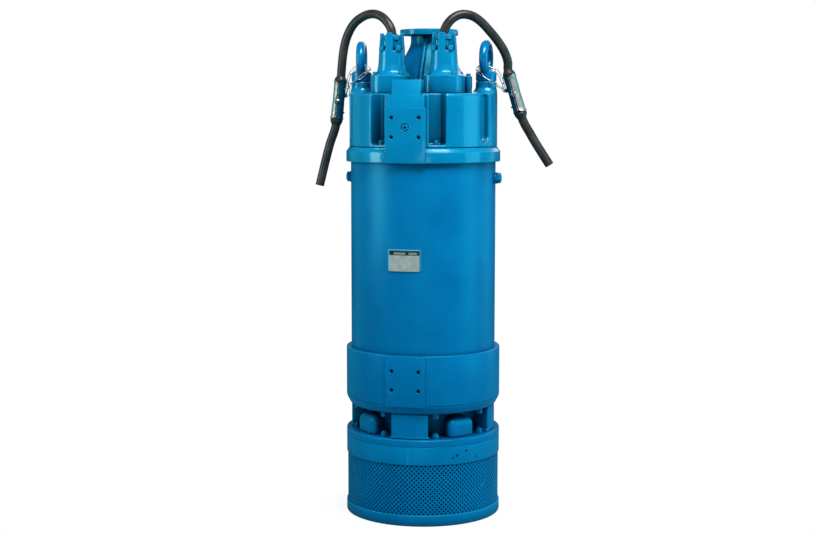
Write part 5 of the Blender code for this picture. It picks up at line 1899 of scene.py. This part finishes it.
    def chain(self) -> None:
        """Bend one long link, and hang copies of it along the chain's line, every other one turned."""
        stretch = self.link_pitch + 3 * self.link_wire - self.link_width
        link = Blank.primitive(
            self.side.of("chain_links"), bpy.ops.mesh.primitive_torus_add, major_segments=24,
            minor_segments=8, major_radius=self.link_width / 2 - self.link_wire, minor_radius=self.link_wire)
        with link.shaping(Part.VERT):
            link.choose(Part.VERT, lambda vert: vert.co.x > 0.0001)
            bpy.ops.transform.translate(value=(stretch, 0.0, 0.0))
            bpy.ops.mesh.select_all(action="SELECT")
            bpy.ops.transform.translate(value=(-stretch / 2, 0.0, 0.0))
        places = []
        for i, (here, after) in enumerate(pairwise(self.chain_line())):
            along = (after - here).normalized()
            side = along.cross(Vector((0.0, 0.0, 1.0))).normalized()
            turn = Matrix((along, side.cross(along) * -1.0, side)).transposed().to_4x4()
            twist = placed(0.0, 0.0, 0.0, math.pi / 2 * (i % 2), "X")
            places.append(Matrix.Translation((here + after) / 2) @ turn @ twist)
        link.spread(places).finish(self.finishes.zinc, Slot.ZINC, self.side.of("chain"), smooth=60.0)


@dataclass(frozen=True)
class Softbox:
    """One rectangular studio light that points at a spot."""

    name: str
    place: Place
    aim: Place
    width: float
    height: float
    power: float
    colour: Place = (1.0, 1.0, 1.0)

    def build(self) -> None:
        """Hang the light."""
        light = bpy.data.lights.new(self.name, "AREA")
        light.shape = "RECTANGLE"
        light.size = self.width
        light.size_y = self.height
        light.energy = self.power
        light.color = self.colour
        item = bpy.data.objects.new(self.name, light)
        item.location = self.place
        item.rotation_euler = (Vector(self.aim) - Vector(self.place)).to_track_quat("-Z", "Y").to_euler()
        item.visible_camera = False
        bpy.context.scene.collection.objects.link(item)


@dataclass
class Studio:
    """The pale floor, the soft lights and the camera."""

    camera_place: Place = (1.416, -6.036, 1.651)
    camera_turn: Place = (83.95, 0.0, 13.773)       # in degrees
    lens: float = 67.46
    sensor: float = 36.0
    floor_colour: Colour = (0.86, 0.86, 0.87, 1.0)
    surroundings: Colour = (0.25, 0.80, 1.00, 1.0)
    floor_bounce: Colour = (0.05, 0.28, 0.34, 1.0)  # what the floor lends the pump
    surroundings_strength: float = 0.12
    white: Colour = (1.0, 1.0, 1.0, 1.0)
    floor_size: float = 40.0
    glow_reach: Point = (-0.70, 0.45)               # from the axis, over which the floor turns white

    def build(self) -> None:
        """Set up everything that isn't the pump."""
        self.camera()
        self.world()
        self.floor()
        for light in self.lights():
            light.build()
        bpy.context.scene.view_settings.view_transform = "Standard"

    def camera(self) -> None:
        """Place the camera where the photograph was taken from."""
        camera = bpy.data.cameras.new("studio_camera")
        camera.lens = self.lens
        camera.sensor_width = self.sensor
        item = bpy.data.objects.new("studio_camera", camera)
        item.location = self.camera_place
        item.rotation_euler = [math.radians(angle) for angle in self.camera_turn]
        bpy.context.scene.collection.objects.link(item)
        bpy.context.scene.camera = item

    def world(self) -> None:
        """Show white behind the pump, and light it dimly from all round."""
        world = bpy.data.worlds.new("studio")
        world.use_nodes = True
        bpy.context.scene.world = world
        graph = Graph(world.node_tree)
        seen = graph.node("LightPath").outputs["Is Camera Ray"]
        backdrop = graph.node("Background", None, {"Color": self.white, "Strength": 1.0})
        room = graph.node("Background", None, {
            "Color": self.surroundings, "Strength": self.surroundings_strength})
        mixed = graph.node("MixShader", None, {0: seen, 1: room.outputs[0], 2: backdrop.outputs[0]})
        graph.node("OutputWorld", None, {"Surface": mixed.outputs[0]})

    def floor(self) -> None:
        """Lay the floor."""
        floor = Blank.primitive("studio_floor", bpy.ops.mesh.primitive_plane_add, size=self.floor_size)
        material = bpy.data.materials.new("pale_floor")
        material.use_nodes = True
        graph = Graph(material.node_tree)
        x, y, _ = graph.axes()
        distance = (x * x + y * y).math("SQRT")
        seen = Value(graph, graph.node("LightPath").outputs["Is Camera Ray"])
        colour = graph.mix(seen, self.floor_bounce, self.floor_colour)
        shader = graph.node("BsdfPrincipled", None, {"Base Color": colour, "Roughness": 0.9})
        glow = graph.node("Emission", None, {"Color": self.white, "Strength": 1.0})
        mixed = graph.node("MixShader", None, {
            0: distance.ramp(*self.glow_reach) * seen, 1: shader.outputs["BSDF"], 2: glow.outputs[0]})
        graph.node("OutputMaterial", None, {"Surface": mixed.outputs[0]})
        floor.item.data.materials.append(material)

    def lights(self) -> list[Softbox]:
        """Return the soft lights: two on each side, one overhead, and two weak fills."""
        mint, green, sea, pale = (0.60, 1.0, 0.97), (0.10, 1.0, 0.92), (0.14, 0.93, 0.98), (0.5, 0.95, 1.0)
        beside = (0.0, 0.0, 1.1)
        return [
            Softbox("left_strip", (*bearing(2.4, -58.0), 1.9), (0.0, 0.0, 1.8), 0.75, 1.8, 29.0, mint),
            Softbox("left_wall", (*bearing(2.8, -108.0), 1.3), (0.0, 0.0, 1.0), 1.3, 2.6, 5.0, green),
            Softbox("right_wall", (*bearing(2.8, 88.0), 1.4), beside, 1.3, 2.6, 30.0, sea),
            Softbox("right_edge", (*bearing(3.0, 128.0), 1.4), beside, 1.2, 2.6, 12.0, sea),
            Softbox("overhead", (*bearing(3.0, 34.0), 5.6), (0.0, -0.2, 1.2), 3.6, 2.4, 400.0),
            Softbox("low_fill", (0.6, -3.6, 0.9), (0.0, 0.0, 0.3), 1.8, 0.8, 10.0, pale),
            Softbox("back_fill", (0.0, 3.0, 3.0), (0.0, 0.0, 1.0), 3.0, 2.0, 30.0),
        ]


def main() -> None:
    """Build the scene round the frame."""
    logging.basicConfig(level=logging.INFO, format="%(message)s")
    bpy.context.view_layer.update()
    Studio().build()
    finishes = Finishes()
    assemblies = [
        *(PowerCable(finishes, side) for side in Side),
        Strainer(finishes),
        PumpCasing(finishes),
        Motor(finishes),
        Head(finishes),
        *(CableGland(finishes, side) for side in Side),
        Discharge(finishes),
        *(LiftingEye(finishes, side) for side in Side),
    ]
    for assembly in assemblies:
        LOG.info("%s", type(assembly).__name__)
        assembly.build()


if __name__ == "__main__":
    main()
